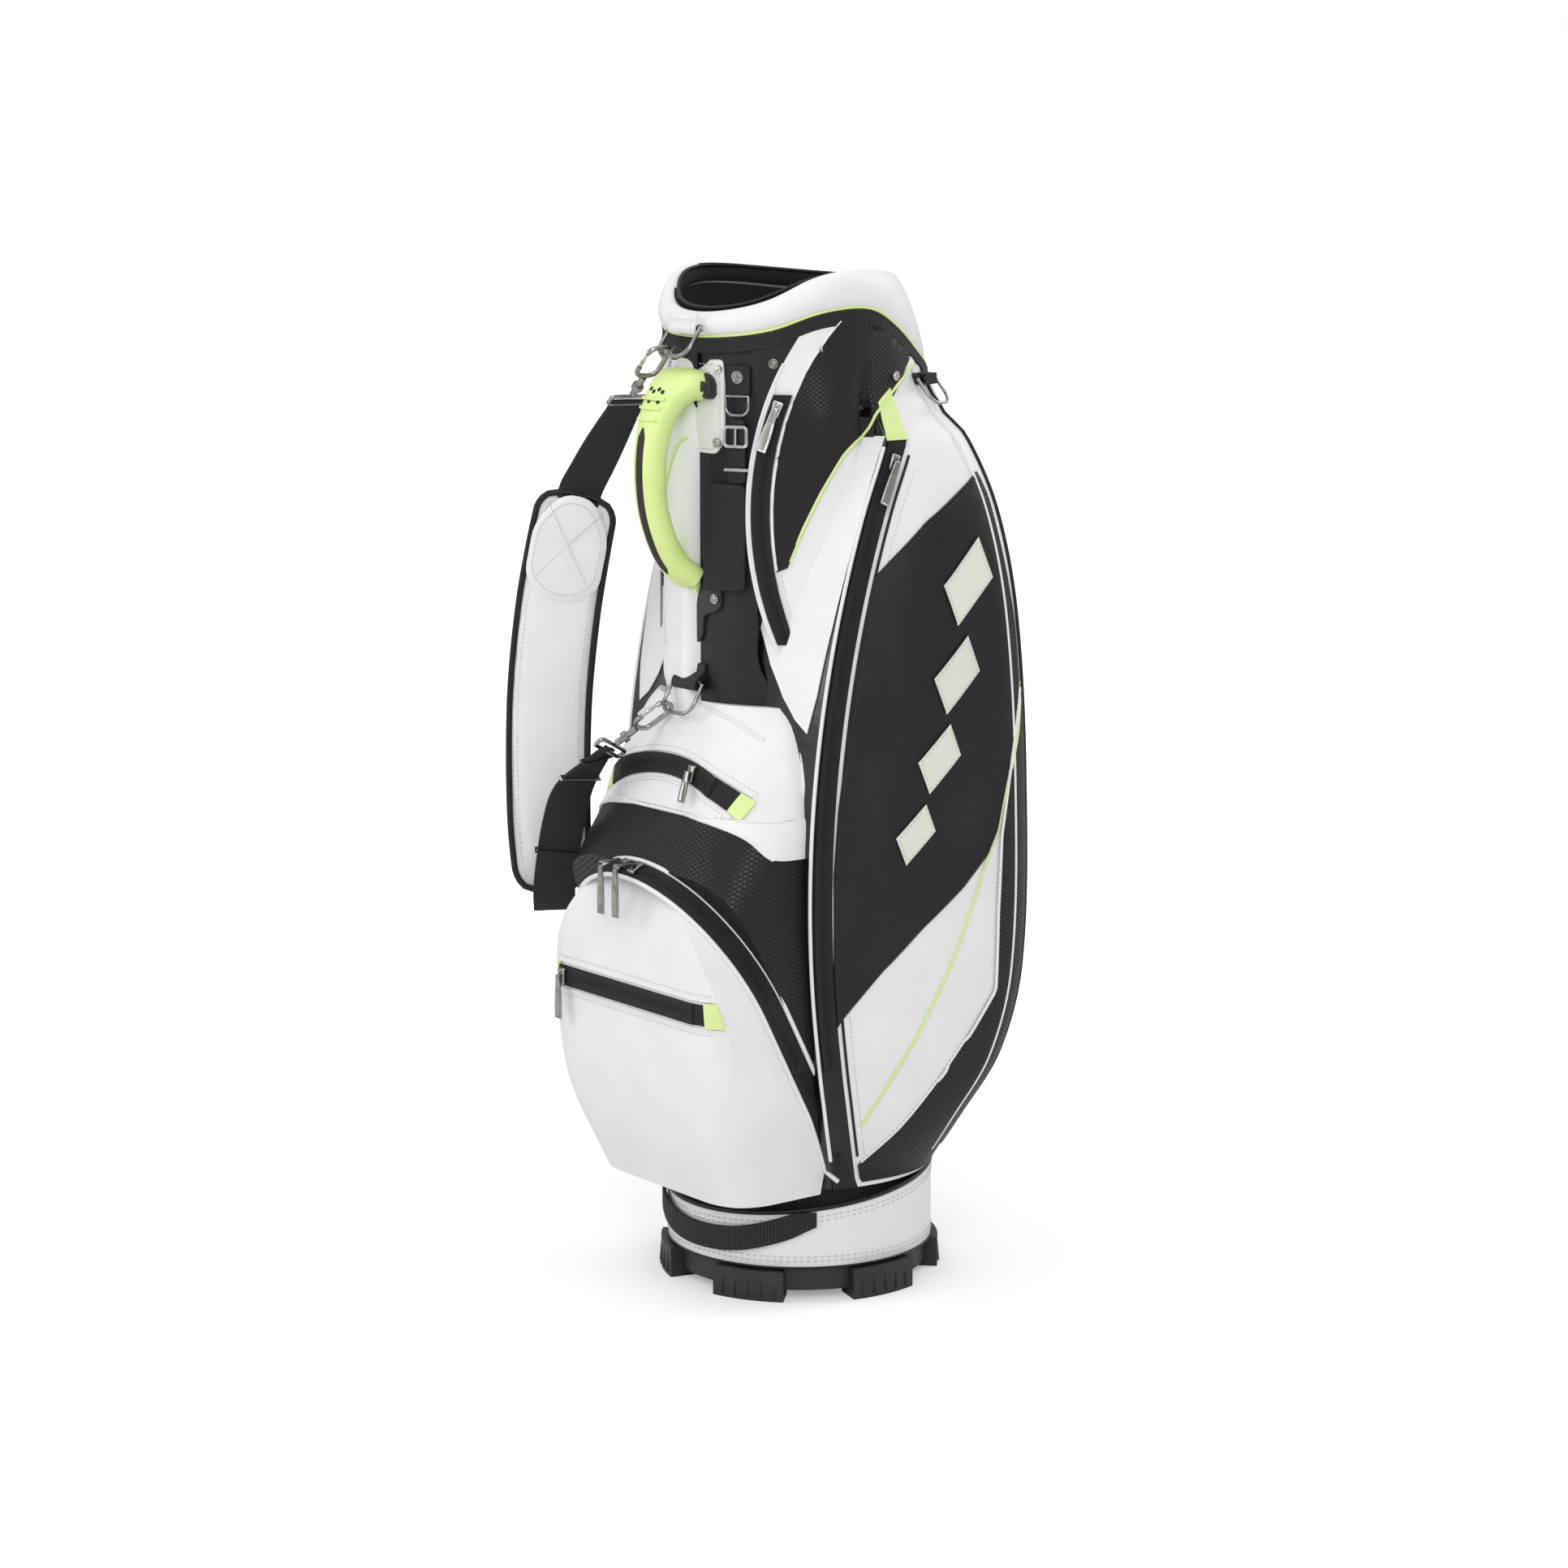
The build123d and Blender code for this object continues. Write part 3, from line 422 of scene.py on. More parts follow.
class Cover:
    """The outside of a piece, on which seams, piping and panels are laid."""

    def __init__(self, *pieces):
        points, faces = [], []
        for piece in pieces:
            base = len(points)
            points += [v.co / MM for v in piece.data.vertices]
            faces += [tuple(base + v for v in f.vertices) for f in piece.data.polygons]
        self.tree = BVHTree.FromPolygons(points, faces)

    def drop(self, start, direction):
        hit, normal, _, _ = self.tree.ray_cast(Vector(start), Vector(direction))
        if hit is None:
            return None
        if normal.dot(Vector(direction)) > 0:
            normal = -normal
        return hit, normal


def on_leg(cover, p):
    """Brings a point of the arch's legs on to the pocket's side wall."""
    sign = 1 if p.x > 0 else -1
    if p.z > 225:
        return p
    found = cover.drop((sign * 300, p.y, p.z), (-sign, 0, 0))
    return found[0] + found[1] * 1.2 if found else p


class View:
    """A way of looking at the bag: u runs along, z up, and out points to the viewer."""

    def __init__(self, out, along):
        self.out = Vector(out).normalized()
        self.along = Vector(along).normalized()

    def point(self, u, z, n=400.0):
        return self.along * u + self.out * n + Vector((0, 0, z))

    def u(self, p):
        return Vector(p).dot(self.along)

    def lay(self, cover, line, lift=0.0, step=6.0):
        """A line of (u, z) laid on a cover."""
        out = []
        for at in even([(u, z, 0) for u, z in line], step):
            found = cover.drop(self.point(at.x, at.y), -self.out)
            if found:
                out.append(found[0] + found[1] * lift)
        return out


FRONT = View((0, -1, 0), (1, 0, 0))


def side_view(sign):
    return View((sign, 0, 0), (0, 1, 0))


def facet_view(sign):
    return View((0.6 * sign, -0.8, 0), (0.8, 0.6 * sign, 0))


def inside(u, z, outline):
    hit = False
    for (u0, z0), (u1, z1) in zip(outline, outline[1:] + outline[:1]):
        if (z0 > z) != (z1 > z) and u < (u1 - u0) * (z - z0) / (z1 - z0) + u0:
            hit = not hit
    return hit


def panel(name, piece, view, outline, finish, lift=0.5, thick=1.3, rides="bag", facing=0.12):
    """A leather panel with a cut edge, laid on a piece inside an outline of (u, z)."""
    made = bmesh.new()
    made.from_mesh(piece.data)
    bmesh.ops.transform(made, matrix=Matrix.Scale(1 / MM, 4), verts=made.verts)
    made.normal_update()
    away = [f for f in made.faces if f.normal.dot(view.out) < facing]
    bmesh.ops.delete(made, geom=away, context="FACES")
    for (u0, z0), (u1, z1) in zip(outline, outline[1:] + outline[:1]):
        across = view.along * (z1 - z0) - Vector((0, 0, 1)) * (u1 - u0)
        if across.length < 1e-6:
            continue
        geom = made.verts[:] + made.edges[:] + made.faces[:]
        bmesh.ops.bisect_plane(made, geom=geom, dist=1e-4, plane_co=view.point(u0, z0, 0), plane_no=across.normalized())
    outside = []
    for f in made.faces:
        c = f.calc_center_median()
        if not inside(view.u(c), c.z, outline):
            outside.append(f)
    bmesh.ops.delete(made, geom=outside, context="FACES")
    loose = [v for v in made.verts if not v.link_faces]
    bmesh.ops.delete(made, geom=loose, context="VERTS")
    made.normal_update()
    shift = [(v, v.normal.copy()) for v in made.verts]
    for v, normal in shift:
        v.co += normal * lift
    bmesh.ops.transform(made, matrix=Matrix.Scale(MM, 4), verts=made.verts)
    data = bpy.data.meshes.new(name)
    made.to_mesh(data)
    made.free()
    obj = bpy.data.objects.new(name, data)
    bpy.context.scene.collection.objects.link(obj)
    modify(obj, "SOLIDIFY", thickness=thick * MM, offset=1.0)
    smooth(obj, 40.0)
    paint(obj, finish)
    body(obj, rides)
    return obj


def grown(outline, by):
    """An outline moved out, or in where by is negative."""
    area = sum(a[0] * b[1] - b[0] * a[1] for a, b in zip(outline, outline[1:] + outline[:1]))
    turn = 1.0 if area > 0 else -1.0
    out = []
    count = len(outline)
    for k in range(count):
        p, q, r = (Vector(outline[(k + d) % count]) for d in (-1, 0, 1))
        a, b = (q - p).normalized(), (r - q).normalized()
        na, nb = Vector((a.y, -a.x)) * turn, Vector((b.y, -b.x)) * turn
        mid = na + nb
        scale = by / max(0.35, mid.length_squared / 2)
        out.append(tuple(q + mid * scale * 0.5 * 2 / 2))
    return out


def stitches(name, line, finish=None, pitch=4.4, length=3.0, radius=0.42, rides="bag"):
    """A sewn row: one short thread for each stitch."""
    points, faces = [], []
    for at, to in zip(even(line, pitch), even(line, pitch)[1:]):
        run = to - at
        if run.length < 1e-6 or run.length > pitch * 1.5:
            continue
        run.normalize()
        side = run.cross(Vector((0, 0, 1)) if abs(run.z) < 0.9 else Vector((1, 0, 0))).normalized()
        up = side.cross(run)
        base = len(points)
        ring = [side * radius, up * radius, side * -radius, up * -radius]
        points += [at]
        points += [at + run * length * 0.25 + r for r in ring]
        points += [at + run * length * 0.75 + r for r in ring]
        points += [at + run * length]
        for c in range(4):
            d = (c + 1) % 4
            faces.append((base, base + 1 + d, base + 1 + c))
            faces.append((base + 1 + c, base + 1 + d, base + 5 + d, base + 5 + c))
            faces.append((base + 5 + c, base + 5 + d, base + 9))
    if not points:
        return None
    obj = outward(mesh_object(name, points, faces))
    smooth(obj, 60.0)
    paint(obj, finish or THREAD)
    body(obj, rides)
    return obj


# ---------------------------------------------------------------- the bag's own curves


CUFF_LOW = ((-124, 837), (-92, 846), (-62, 860), (-32, 865), (-8, 862), (20, 847), (54, 824), (84, 810), (124, 800))
RIM = ((-124, 853), (-112, 858), (-92, 868), (-64, 886), (-36, 893), (0, 893), (40, 889), (84, 883), (124, 878))
WEBBING_H = 15.0


def through(table, at):
    """A smooth value at a place, through a table of (place, values)."""
    last = len(table) - 1
    at = min(max(at, table[0][0]), table[-1][0])
    k = max(i for i in range(last) if table[i][0] <= at)
    (a, va), (b, vb) = table[k], table[k + 1]
    rise = [(q - p) / (b - a) for p, q in zip(va, vb)]

    def slope(i):
        if i == 0 or i == last:
            return rise
        (p, vp), (q, vq) = table[i - 1], table[i + 1]
        return [(y - x) / (q - p) for x, y in zip(vp, vq)]

    t, h = (at - a) / (b - a), b - a
    m0, m1 = slope(k), slope(k + 1)
    out = []
    for p, q, s0, s1 in zip(va, vb, m0, m1):
        out.append((2 * t**3 - 3 * t * t + 1) * p + (t**3 - 2 * t * t + t) * h * s0
                   + (3 * t * t - 2 * t**3) * q + (t**3 - t * t) * h * s1)
    return out


def curve_at(curve, y):
    return through([(a, (b,)) for a, b in curve], y)[0]


def collar_radius(angle, z, off=0.0):
    """Distance of the collar's wall from its own middle, at an angle from the front."""
    t = (z - TUBE_TOP) / 120.0
    a, b = 118.0 - 5.0 * t + off, 118.0 - 30.0 * t + off
    return a * b / sqrt((b * sin(angle))**2 + (a * cos(angle))**2)


def collar_point(angle, z, off=0.0):
    r = collar_radius(angle, z, off)
    y0 = -24.0 * (z - TUBE_TOP) / 120.0
    return Vector((r * sin(angle), y0 - r * cos(angle), z))


def on_curve(angle, curve, drop=0.0, off=0.0):
    """Where a side-view curve crosses the collar at an angle."""
    z = 850.0
    for _ in range(12):
        z = curve_at(curve, collar_point(angle, z, off).y) - drop
    return collar_point(angle, z, off)


def soft_step(t):
    t = min(max(t, 0.0), 1.0)
    return t * t * (3 - 2 * t)


def shoulder(p, lift=1.3, blend=46.0):
    """Draws a point above the tube's top in to the collar and keeps it under the webbing."""
    x, y, z = p
    if z > TUBE_TOP:
        y0 = -24.0 * (z - TUBE_TOP) / 120.0
        angle = atan2(x, -(y - y0))
        r = sqrt(x * x + (y - y0)**2)
        share = soft_step((z - TUBE_TOP + 14) / blend)
        r = max(r + (collar_radius(angle, z, lift) - r) * share, collar_radius(angle, z, 0.2))
        x, y = r * sin(angle), y0 - r * cos(angle)
    top = curve_at(CUFF_LOW, y) - WEBBING_H + 4.5
    if z > top:
        q = collar_point(atan2(x, -y), top, 0.3)
        return Vector((q.x, q.y, top))
    return Vector((x, y, z))


def hug(p):
    """Keeps a point outside the tube, the base band and the frame's skirt."""
    x, y, z = p
    r = sqrt(x * x + y * y)
    least = BAND_R if z < 106 else TUBE_R if z < SKIRT_Z else SKIRT_R if z < TUBE_TOP else 0.0
    if 1e-6 < r < least:
        return Vector((x * least / r, y * least / r, z))
    return Vector(p)


def rounded(points, cuts, steps=6):
    """A closed outline with each corner rounded by its own cut."""
    out = []
    count = len(points)
    for k in range(count):
        p, q, r = (Vector(points[(k + d) % count]) for d in (-1, 0, 1))
        to_p, to_r = p - q, r - q
        cut = min(cuts[k], 0.46 * to_p.length, 0.46 * to_r.length)
        a = q + to_p.normalized() * cut if to_p.length > 1e-6 else q
        b = q + to_r.normalized() * cut if to_r.length > 1e-6 else q
        for s in range(steps + 1):
            t = s / steps
            out.append(a * (1 - t)**2 + q * (2 * t * (1 - t)) + b * t * t)
    return out


# ---------------------------------------------------------------- garment pockets


# height: strip x, middle x, back x, back y, spine y, zip y
GARMENT = [
    (100, (112, 115, 106, 84, 112, -36)), (152, (132, 146, 142, 92, 120, -59)),
    (210, (136, 158, 164, 118, 128, -70.7)), (290, (136, 165, 174, 134, 140, -79.5)),
    (450, (136, 167, 174, 136, 142, -78)), (600, (136, 162, 170, 128, 136, -52.8)),
    (690, (136, 155, 160, 114, 126, -26)), (752, (136, 143, 143, 94, 118, -2)),
    (780, (126, 126, 124, 80, 112, -6)), (868, (126, 126, 124, 80, 112, -6)),
]
CORNER = 7
STRIP = 13.0


def zip_y(z):
    return -82.0 + 1000.0 - sqrt(1000.0**2 - (z - 360.0)**2)


def garment_ring(z, sign):
    strip, mid, bx, by, spine, zy = through(GARMENT, z)
    if 170 < z < 752:
        zy = zip_y(z)
    corners = [(46, zy - STRIP), (strip, zy - STRIP), (strip, zy + STRIP), (mid, 15 if z < 700 else max(15, zy + 22)),
               (bx, by - 30), (bx - 26, by), (30, spine), (40, 62)]
    ring = rounded(corners, (2, 3.0, 5, 60, 34, 30, 3, 4))
    crown = 2.5 * sin(pi * min(1, max(0, (z - 100) / 680)))
    out = []
    for k, p in enumerate(ring):
        x, y = p.x, p.y
        if 3 * CORNER <= k < 5 * CORNER:
            x += crown
        q = hug(Vector((x, y, z)))
        q = shoulder(q)
        out.append(Vector((q.x * sign, q.y, q.z)))
    return out if sign > 0 else out


def garment_pocket(label, sign):
    levels = [100 + 8.0 * k for k in range(97)]
    rows = [garment_ring(z, sign) for z in levels]
    obj = skin("garment_pocket_cover_" + label, rows)
    paint(obj, WHITE, GLOSS, BLACK)
    for f in obj.data.polygons[:(len(rows) - 1) * len(rows[0])]:
        k = f.index % len(rows[0])
        if k <= CORNER + 3 or k >= 7 * CORNER:
            f.material_index = 1
        elif k < 2 * CORNER + 2:
            f.material_index = 2
        elif 5 * CORNER <= k < 6 * CORNER:
            f.material_index = 0
    outward(obj)
    smooth(obj, 42.0)
    body(obj, "bag", "garment_pocket_" + label)
    return obj, rows


SIDE_PANEL = [(-27, 637), (16, 684), (74, 723), (84, 700), (96, 640), (105, 590), (108, 541), (103, 498), (90, 453),
              (81, 414), (70, 394), (45, 368), (6, 335), (-28, 300), (-66, 253), (-69.5, 300), (-70, 386), (-65.5, 440),
              (-56.5, 500), (-43, 572)]
REAR_PANEL = [(108, 536), (94, 470), (84, 410), (81, 340), (81, 272), (58, 236), (30, 196), (-3, 154), (-31, 122),
              (-22, 104), (140, 104), (140, 536)]
LIME_EDGE = [(109, 541), (103, 498), (90, 453), (81, 414), (71, 394), (37, 306), (3, 235), (-40, 160)]
DIAMONDS = ((52, 632, 25, 37), (38, 553, 22.5, 33), (20, 482, 20, 29.5), (-2, 418, 17.5, 26))


def diamond(u, z, half_u, half_z):
    lean = 0.34
    return [(u + half_z * lean, z + half_z), (u + half_u, z + 2), (u - half_z * lean, z - half_z), (u - half_u, z - 2)]


def corner_line(rows, index, z0, z1, lift=0.0):
    """The line of one corner of a skin's rows."""
    out = []
    for row in rows:
        p = row[index]
        if z0 <= p.z <= z1:
            c = Vector((0, 0, p.z))
            out.append(p + (p - c).normalized() * lift)
    return out


def garment_details(label, sign, piece, rows):
    view = side_view(sign)
    cover = Cover(piece)
    black = panel("side_panel_" + label, piece, view, SIDE_PANEL, BLACK)
    on_black = Cover(piece, black)
    rear = panel("rear_panel_" + label, piece, view, REAR_PANEL, MESH)
    both = Cover(piece, black, rear)
    for k, spec in enumerate(DIAMONDS):
        outline = diamond(*spec)
        ring = view.lay(on_black, outline + outline[:1], 0.5, 5.0)
        inlay = panel("inlay_%d_%s" % (k + 1, label), black, view, outline, CREAM, 0.3, 1.2)
        smooth(inlay, 40.0)
        cord_round("inlay_edge_%d_%s" % (k + 1, label), ring, 0.9, BLACK, "bag", True)
        frame_row = grown(outline, -3.2)
        stitches("inlay_seam_%d_%s" % (k + 1, label), view.lay(Cover(inlay), frame_row + frame_row[:1], 0.4, 2.0))
    inner = grown(SIDE_PANEL, -4.0)
    stitches("side_panel_seam_" + label, view.lay(on_black, inner + inner[:1], 0.35, 2.0), DARK_THREAD)
    cord_round("side_panel_piping_" + label, view.lay(cover, SIDE_PANEL[:4], 0.8), 1.2, BLACK, "bag")
    cord_round("lime_side_piping_" + label, view.lay(both, LIME_EDGE, 0.9, 5.0), 1.25, LIME, "bag")
    edge = REAR_PANEL[:9]
    cord_round("rear_panel_piping_" + label, view.lay(both, edge, 0.5), 1.3, WHITE, "bag")
    edge_in = grown(REAR_PANEL, 4.0)[:9]
    stitches("rear_panel_seam_" + label, view.lay(cover, edge_in, 0.3, 2.0))
    back = 4 * CORNER + 2
    cord_round("back_white_piping_" + label, corner_line(rows, back, 124, 812, 0.9), 1.7, WHITE, "bag")
    cord_round("back_black_piping_" + label, corner_line(rows, back + 4, 124, 812, 0.9), 1.9, BLACK, "bag")
    seam = corner_line(rows, 5 * CORNER + 6, 116, 770, 0.3)
    stitches("back_seam_" + label, seam)
    front = corner_line(rows, CORNER + 3, 126, 748, 0.4)
    cord_round("strip_front_piping_" + label, front, 1.7, WHITE, "bag")
    rear_edge = corner_line(rows, 2 * CORNER + 5, 126, 742, 0.5)
    cord_round("strip_rear_piping_" + label, rear_edge, 1.3, BLACK, "bag")
    behind = [Vector((p.x, p.y + 7, p.z)) for p in rear_edge if 120 < p.z < 735]
    laid = view.lay(cover, [(p.y, p.z) for p in behind], 0.3, 2.0)
    stitches("strip_rear_seam_" + label, laid)
    white = [(121, 508), (127, 540), (131.5, 600), (134, 660), (134.5, 700), (134.5, 757), (20, 757), (20, 610), (62, 592), (74, 562),
             (90, 536), (106, 518)]
    over = [(20, 756), (127, 756), (124, 790), (124, 868), (20, 868)]
    panel("front_mesh_panel_" + label, piece, FRONT, [(sign * u, z) for u, z in over], MESH, 0.4, 1.0, facing=0.02)
    panel("front_white_panel_" + label, piece, FRONT, [(sign * u, z) for u, z in white], WHITE, 0.3, 1.0, facing=0.02)
    inner_edge = [Vector((sign * min(122.0, through(BELLY, z)[0] + 0.5), zip_y(z) - STRIP - 0.6, z)) for z in range(392, 508, 6)]
    cord_round("gusset_piping_" + label, inner_edge, 1.5, WHITE, "bag")
    tab = [(-15, 757), (-26, 746), (-14, 742), (8, 749), (5, 792), (-6, 783)]
    panel("zip_top_tab_" + label, piece, view, [(-14, 784), (-13, 753), (9, 753), (2, 796)], LIME, 1.0, 1.3)
    return tab


# ---------------------------------------------------------------- upper pockets


def upper_zip_u(z):
    return 268.0 - sqrt(270.0**2 - (z - 690.0)**2)


def upper_ring(z, sign):
    view = facet_view(sign)
    u0 = min(upper_zip_u(z) - 13.0, 50.0)
    out_n = 118.5 - 9.0 * (1 - soft_step((z - 512) / 36.0))
    wide = 45.0 + 9.0 * soft_step((z - 680) / 90)
    corners = [(u0 - 1, 98), (u0, out_n), (max(wide, u0 + 8), out_n), (78, 100), (76, 84), (40, 90)]
    ring = rounded(corners, (3, 4.0, 40, 14, 4, 4))
    out = []
    for p in ring:
        q = view.along * p.x + view.out * p.y + Vector((0, 0, z))
        q = shoulder(hug(q), 1.6, 60.0)
        out.append(q)
    return out


def upper_pocket(label, sign):
    rows = [upper_ring(z, sign) for z in [512 + 6.0 * k for k in range(60)]]
    obj = skin("upper_pocket_cover_" + label, rows)
    paint(obj, WHITE)
    outward(obj)
    smooth(obj, 42.0)
    body(obj, "bag", "upper_pocket_" + label)
    return obj, rows


LIME_TOP = [(118, 838), (104, 800), (86, 764), (68, 742), (50, 709), (36, 680), (23, 648)]


def upper_details(label, sign, piece, rows, garment):
    view = facet_view(sign)
    cover = Cover(piece)
    left = [(upper_zip_u(z) + 10.5, z) for z in range(858, 640, -18)]
    outline = left + [(22, 646)] + list(reversed(LIME_TOP[:-1])) + [(118, 862)]
    face = panel("upper_mesh_panel_" + label, piece, view, outline, MESH, 0.4, 1.2)
    side = side_view(sign)
    top = [(-60, 868), (-60, 748), (-29, 757), (-8, 776), (12, 797), (36, 824), (44, 868)]
    over = panel("shoulder_mesh_panel_" + label, garment, side, top, MESH, 0.5, 1.2)
    both = Cover(piece, garment, face, over)
    cord_round("lime_top_piping_" + label, view.lay(both, LIME_TOP, 0.7, 5.0), 1.3, LIME, "bag")
    cord_round("mesh_edge_piping_" + label, view.lay(both, left, 0.3, 6.0), 1.3, WHITE, "bag")
    zip_left = [(upper_zip_u(z) - 9.5, z) for z in range(800, 560, -8)]
    cord_round("upper_zip_piping_" + label, view.lay(cover, zip_left, 0.4, 6.0), 1.2, WHITE, "bag")
    edge = corner_line(rows, CORNER + 3, 530, 820, 0.5)
    cord_round("upper_pocket_piping_" + label, edge, 1.5, WHITE, "bag")
    sewn = [(upper_zip_u(z) - 4.5 - 8.0, z) for z in range(812, 560, -8)]
    row = view.lay(cover, sewn, 0.3, 2.0)
    stitches("upper_pocket_seam_" + label, row)
    right = [(upper_zip_u(z) + 13.5, z) for z in range(640, 566, -6)]
    stitches("upper_lower_seam_" + label, view.lay(cover, right, 0.3, 2.0))
    tail = [(30.0, 571), (42.5, 571), (60, 549), (48, 545)]
    panel("upper_zip_end_" + label, piece, view, tail, WHITE, 0.9, 1.2)


# ---------------------------------------------------------------- front panel and back


def front_panel():
    rows = []
    for k in range(58):
        z = 500 + 6.4 * k
        half = radians(34 + 17 * soft_step((z - 735) / 90) + 16 * (1 - soft_step((z - 500) / 70)))
        row = []
        for s in range(33):
            angle = -half + 2 * half * s / 32
            r = 115.0 + 0.6 * cos(angle * 2)
            p = Vector((r * sin(angle), -r * cos(angle), z))
            bent = shoulder(hug(p), 1.0, 40.0)
            flat = Vector((115.2 * sin(angle), -115.2 * cos(angle), bent.z))
            row.append(flat.lerp(bent, soft_step((abs(angle) - radians(27)) / radians(10))))
        rows.append(row)
    obj = skin("front_panel_cover", rows, closed=False)
    modify(obj, "SOLIDIFY", thickness=1.4 * MM, offset=-1.0)
    paint(obj, BLACK)
    smooth(obj, 40.0)
    body(obj, "bag", "front_panel")
    return obj


def back_spine():
    table = [(104, (111,)), (152, (120,)), (210, (128,)), (290, (140,)), (450, (142,)), (600, (136,)), (690, (126,)),
             (752, (118,)), (780, (114,)), (868, (114,))]
    rows = []
    for k in range(87):
        z = 104 + 8.6 * k
        y = through(table, z)[0] + 1.0
        ring = rounded([(-31, y - 3), (-24, y + 3), (24, y + 3), (31, y - 3), (28, 70), (-28, 70)], (4, 10, 10, 4, 3, 3))
        rows.append([shoulder(hug(Vector((p.x, p.y, z)))) for p in ring])
    obj = outward(skin("back_spine_cover", rows))
    paint(obj, BLACK)
    smooth(obj, 42.0)
    body(obj, "bag", "back_spine")
    for sign, label in ((1, "right"), (-1, "left")):
        view = View((0, 1, 0), (1, 0, 0))
        line = [(21 * sign, z) for z in range(120, 780, 6)]
        stitches("spine_seam_" + label, view.lay(Cover(obj), line, 0.3, 2.0), DARK_THREAD)
        line = [(30.5 * sign, z) for z in range(118, 800, 8)]
        laid = view.lay(Cover(obj), line, 0.6, 8.0)
        cord_round("spine_piping_" + label, laid, 1.5, WHITE, "bag")
    return obj


# ---------------------------------------------------------------- belly: ball pocket and upper front pocket


# height: side x, y; shoulder x, y; front x, y
BELLY = [
    (96, (106, -122, 97, -143, 76, -152)), (180, (126, -152, 117, -173, 96, -182)),
    (280, (130, -158, 121, -181, 100, -190)), (350, (128, -150, 118, -176, 94, -186)),
    (390, (127, -130, 113, -157, 82, -172)), (432, (126, -106, 108, -134, 70, -152)),
    (474, (119, -96, 98, -123, 66, -141)), (512, (104, -88, 82, -108, 48, -122)), (526, (92, -84, 72, -102, 44, -115)),
]
ARCH_R = 125.0
ARCH_UP = Vector((0, -153, 296)).normalized()
ARCH_OUT = Vector((1, 0, 0)).cross(ARCH_UP)
ARCH_CENTRE = Vector((0, -175, 388)) - ARCH_UP * ARCH_R


def belly_ring(z, inset=0.0):
    sx, sy, mx, my, fx, fy = through(BELLY, z)
    right = [(sx, -58), (sx, sy), (mx, my), (fx, fy)]
    back = [(72, -62), (36, -62), (0, -62), (-36, -62), (-72, -62)]
    points = [(-x, y) for x, y in right[1:]] + list(reversed(right[1:])) + [right[0]] + back + [(-right[0][0], right[0][1])]
    ring = rounded(points, (12, 18, 22, 22, 18, 12, 3, 2, 2, 2, 2, 2, 3), 5)
    out = []
    for p in ring:
        y = p.y
        if y < fy + 14:
            y -= 2.2 * (1 - (p.x / fx)**2) if abs(p.x) < fx else 0.0
        q = hug(Vector((p.x, y, z)))
        out.append(q + (Vector((q.x, q.y, 0)).normalized() * inset if q.y < -100 else Vector()))
    return out


def belly_block(name, z0, z1, step=7.0, inset=0.0):
    count = max(2, int(ceil((z1 - z0) / step)))
    rows = [belly_ring(z0 + (z1 - z0) * k / count, inset) for k in range(count + 1)]
    return outward(skin(name, rows))


def arch_line(radius, angles=25, leg=210.0, leg_steps=16):
    """The arch's outline in its own plane: right foot, over the top, left foot."""
    side = Vector((1, 0, 0))
    line = [ARCH_CENTRE + side * radius - ARCH_UP * (leg * (1 - k / leg_steps)) for k in range(leg_steps)]
    line += [ARCH_CENTRE + (side * cos(pi * k / angles) + ARCH_UP * sin(pi * k / angles)) * radius for k in range(angles + 1)]
    line += [ARCH_CENTRE - side * radius - ARCH_UP * (leg * (k + 1) / leg_steps) for k in range(leg_steps)]
    return line


def arch_block(radius, near, far):
    """A solid with the arch's outline, from near to far in front of its plane."""
    line = arch_line(radius, 40, 260.0, 12)
    rows = [[p + ARCH_OUT * n for p in line] for n in (near, far)]
    return outward(skin("arch_block", rows))


def cut(obj, tool, kind):
    modify(obj, "BOOLEAN", object=tool, operation=kind, solver="EXACT")
    return obj


def belly_pieces():
    block = arch_block(ARCH_R, 0.3, 260)
    cover = belly_block("ball_pocket_cover", 97, 420)
    cut(cover, block, "INTERSECT")
    gusset = belly_block("pocket_gusset_cover", 100, 434.5, inset=-0.5)
    half = arch_block(420.0, 0.0, 300)
    cut(gusset, half, "DIFFERENCE")
    for tool in (block, half):
        bpy.data.objects.remove(tool)
    upper = belly_block("upper_front_pocket_cover", 436.2, 526, 4.5)
    for obj, finish, node in ((cover, WHITE, "ball_pocket"), (gusset, MESH, "pocket_gusset"),
                              (upper, WHITE, "upper_front_pocket")):
        paint(obj, finish)
        smooth(obj, 38.0)
        body(obj, "bag", node)
    return cover, gusset, upper


